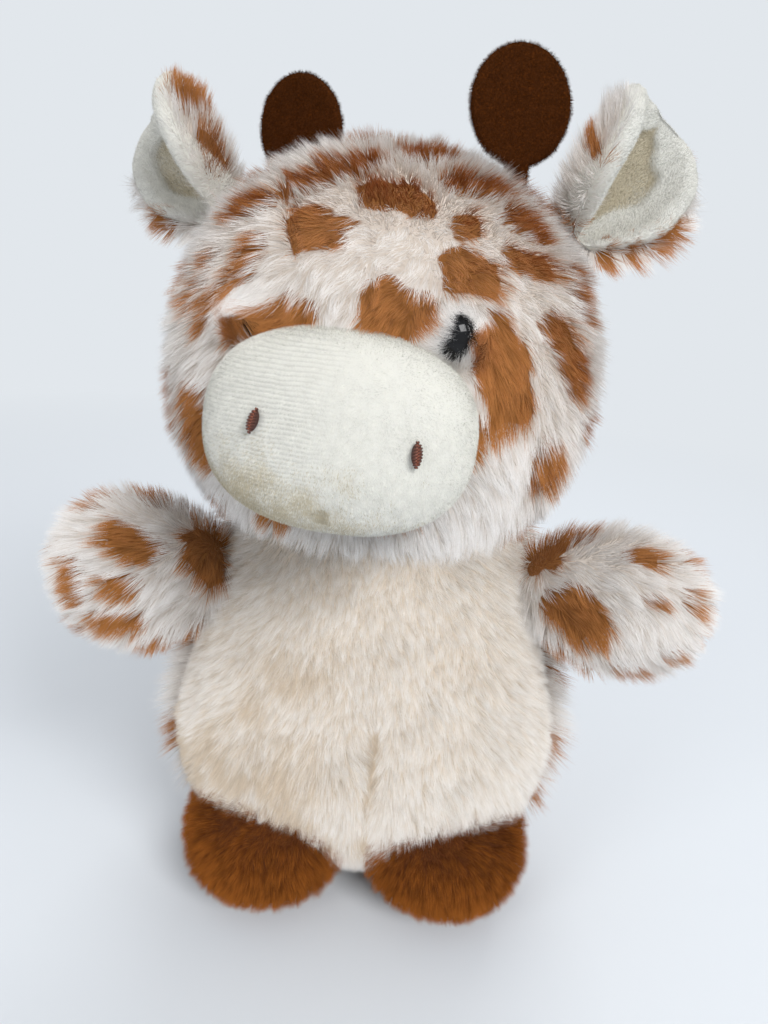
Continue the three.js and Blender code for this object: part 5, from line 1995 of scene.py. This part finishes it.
def make_tail():
    place = placed(JOINTS["tail_swing"], turned(("X", TAIL_TILT)))
    half = TAIL_LENGTH / 2
    middle = Matrix.Translation(Vector((0, TAIL_DIAMETER / 2, TAIL_DIAMETER / 2 - half)))
    middle = place @ middle
    cord = StuffedForm(TAIL_DIAMETER, TAIL_DIAMETER, half, half, middle, **CORD_FULLNESS)
    height = TAIL_DIAMETER / 2 - TAIL_LENGTH - TUFT_RISE / 2
    middle = place @ Matrix.Translation(Vector((0, TAIL_DIAMETER / 2, height)))
    size = (TUFT_DIAMETER, TUFT_DIAMETER, TUFT_RISE, TUFT_DROP)
    tuft = StuffedForm(*size, middle, **TUFT_FULLNESS, taper=TUFT_TAPER)
    directions, faces = ball(4)
    for form, part, slot, surface, depth, seed, values in (
        (cord, "tail_cover", "spotted_fur", "fur", TAIL_BACKING_DEPTH, 90, TAIL_PILE),
        (tuft, "tail_tuft", "brown_plush", "foot", TUFT_BACKING_DEPTH, 91, TUFT_PILE),
    ):
        outer = form.points(directions)
        base = form.points(directions, depth)
        normals = normals_of(outer, faces)
        comb = nap_on(outer, normals, np.array(place)[:3, 2] * -1, (*TAIL_WAVE, 92))
        tone = np.full(len(outer), TUFT_TONE)
        if surface == "fur":
            spots = hidden_spots(outer, normals, [], TAIL_SPOT_SPACING, 93, TAIL_SPOT_SHRINK)
            tone = spottiness(outer, spots)
        backed(f"{part}_backing", "tail", slot, f"{surface}_knit", base, faces, tone, (part,), fill=0.7)
        coat = Coat(base, faces, comb, tone, np.ones(len(base)), np.ones(len(base)))
        coat.grow(f"{part}_pile", "tail", slot, surface, seed, **values)


# Stage

FLOOR_SIZE = 3.0
SKY = "#F4F6FA"
SKY_STRENGTH = 0.55
LAMPS_LOOK_AT = Vector((0, 0, 0.1))

# Where each lamp stands, its size and its power in watts
LAMPS = {
    "key": ((0.45, -0.55, 0.75), 0.4, 5.3),
    "fill": ((-0.6, -0.5, 0.5), 0.3, 1.2),
    "rim": ((0.1, 0.6, 0.7), 0.5, 2.0),
}


def make_stage():
    scene = bpy.context.scene
    size = FLOOR_SIZE
    corners = np.array([[-size, -size, 0], [size, -size, 0], [size, size, 0], [-size, size, 0]])
    mesh_object("floor", corners, np.array([[0, 1, 2, 3]]), finish("floor"))

    world = bpy.data.worlds.new("Soft studio")
    world.use_nodes = True
    scene.world = world
    world.node_tree.nodes.clear()
    node = partial(add, world.node_tree)
    sky = node("ShaderNodeBackground", {"Color": (*linear(SKY), 1), "Strength": SKY_STRENGTH})
    shown = node("ShaderNodeBackground", {"Color": (*linear(BACKGROUND), 1), "Strength": 1.0})
    blend = node("ShaderNodeMixShader", (looking_rays(node), sky, shown))
    node("ShaderNodeOutputWorld", {"Surface": blend})

    for name, (place, size, power) in LAMPS.items():
        light = bpy.data.lights.new(name, "AREA")
        light.size = size
        light.energy = power
        lamp = bpy.data.objects.new(name, light)
        scene.collection.objects.link(lamp)
        lamp.location = place
        lamp.rotation_euler = (LAMPS_LOOK_AT - lamp.location).to_track_quat("-Z", "Y").to_euler()

    camera = bpy.data.cameras.new("photograph")
    camera.sensor_width = FILM_HEIGHT
    camera.lens = PHOTO_FOCAL / PHOTO_HEIGHT * FILM_HEIGHT
    camera.clip_start = 0.01
    view = bpy.data.objects.new("photograph", camera)
    scene.collection.objects.link(view)
    view.matrix_world = placed(CAMERA_PLACE, CAMERA_TURNED)
    scene.camera = view
    scene.view_settings.view_transform = "Standard"


class PLUSH_OT_stage(bpy.types.Operator):
    """Sets the camera, the lamps, the world and the floor"""

    bl_idname = "plush.stage"
    bl_label = "Stage"

    def execute(self, context):
        make_stage()
        return {"FINISHED"}


class PLUSH_OT_head(bpy.types.Operator):
    """Makes the head's stuffed cover and grows its printed fur"""

    bl_idname = "plush.head"
    bl_label = "Head"

    def execute(self, context):
        make_head()
        return {"FINISHED"}


class PLUSH_OT_muzzle(bpy.types.Operator):
    """Makes the velboa dome of the muzzle with its nap"""

    bl_idname = "plush.muzzle"
    bl_label = "Muzzle"

    def execute(self, context):
        make_muzzle()
        return {"FINISHED"}


class PLUSH_OT_nostrils(bpy.types.Operator):
    """Embroiders the two nostrils"""

    bl_idname = "plush.nostrils"
    bl_label = "Nostrils"

    def execute(self, context):
        make_nostrils()
        return {"FINISHED"}


class PLUSH_OT_eyes(bpy.types.Operator):
    """Makes the two safety eyes"""

    bl_idname = "plush.eyes"
    bl_label = "Eyes"

    def execute(self, context):
        make_eyes()
        return {"FINISHED"}


class PLUSH_OT_horns(bpy.types.Operator):
    """Cuts the two felt horns"""

    bl_idname = "plush.horns"
    bl_label = "Horns"

    def execute(self, context):
        make_horns()
        return {"FINISHED"}


class PLUSH_OT_ears(bpy.types.Operator):
    """Makes the two ears, each a velboa lining inside a layer of fur"""

    bl_idname = "plush.ears"
    bl_label = "Ears"

    def execute(self, context):
        make_ears()
        return {"FINISHED"}


class PLUSH_OT_body(bpy.types.Operator):
    """Makes the body's belly panel and back panels"""

    bl_idname = "plush.body"
    bl_label = "Body"

    def execute(self, context):
        make_body()
        return {"FINISHED"}


class PLUSH_OT_arms(bpy.types.Operator):
    """Makes the two arms"""

    bl_idname = "plush.arms"
    bl_label = "Arms"

    def execute(self, context):
        make_arms()
        return {"FINISHED"}


class PLUSH_OT_feet(bpy.types.Operator):
    """Makes the two feet"""

    bl_idname = "plush.feet"
    bl_label = "Feet"

    def execute(self, context):
        make_feet()
        return {"FINISHED"}


class PLUSH_OT_tail(bpy.types.Operator):
    """Makes the tail and its tuft"""

    bl_idname = "plush.tail"
    bl_label = "Tail"

    def execute(self, context):
        make_tail()
        return {"FINISHED"}


OPERATORS = (
    PLUSH_OT_stage,
    PLUSH_OT_head,
    PLUSH_OT_muzzle,
    PLUSH_OT_nostrils,
    PLUSH_OT_eyes,
    PLUSH_OT_horns,
    PLUSH_OT_ears,
    PLUSH_OT_body,
    PLUSH_OT_arms,
    PLUSH_OT_feet,
    PLUSH_OT_tail,
)


class PLUSH_PT_pieces(bpy.types.Panel):
    """Lists the toy's pieces, sizes and colours"""

    bl_idname = "PLUSH_PT_pieces"
    bl_label = "Plush giraffe"
    bl_space_type = "VIEW_3D"
    bl_region_type = "UI"
    bl_category = "Plush giraffe"

    def draw(self, context):
        column = self.layout.column(align=True)
        for kind in OPERATORS:
            column.operator(kind.bl_idname)
        for group in (context.scene.plush_sizes, context.scene.plush_colours):
            column = self.layout.column()
            for key in group.__annotations__:
                column.prop(group, key)


CLASSES = (PlushColours, PlushSizes, *OPERATORS, PLUSH_PT_pieces)


def register():
    for kind in CLASSES:
        bpy.utils.register_class(kind)
    bpy.types.Scene.plush_colours = bpy.props.PointerProperty(type=PlushColours)
    bpy.types.Scene.plush_sizes = bpy.props.PointerProperty(type=PlushSizes)


def unregister():
    del bpy.types.Scene.plush_sizes
    del bpy.types.Scene.plush_colours
    for kind in reversed(CLASSES):
        bpy.utils.unregister_class(kind)


def main():
    register()
    bpy.ops.plush.stage()
    bpy.ops.plush.head()
    bpy.ops.plush.muzzle()
    bpy.ops.plush.nostrils()
    bpy.ops.plush.eyes()
    bpy.ops.plush.horns()
    bpy.ops.plush.ears()
    bpy.ops.plush.body()
    bpy.ops.plush.arms()
    bpy.ops.plush.feet()
    bpy.ops.plush.tail()


if __name__ == "__main__":
    main()
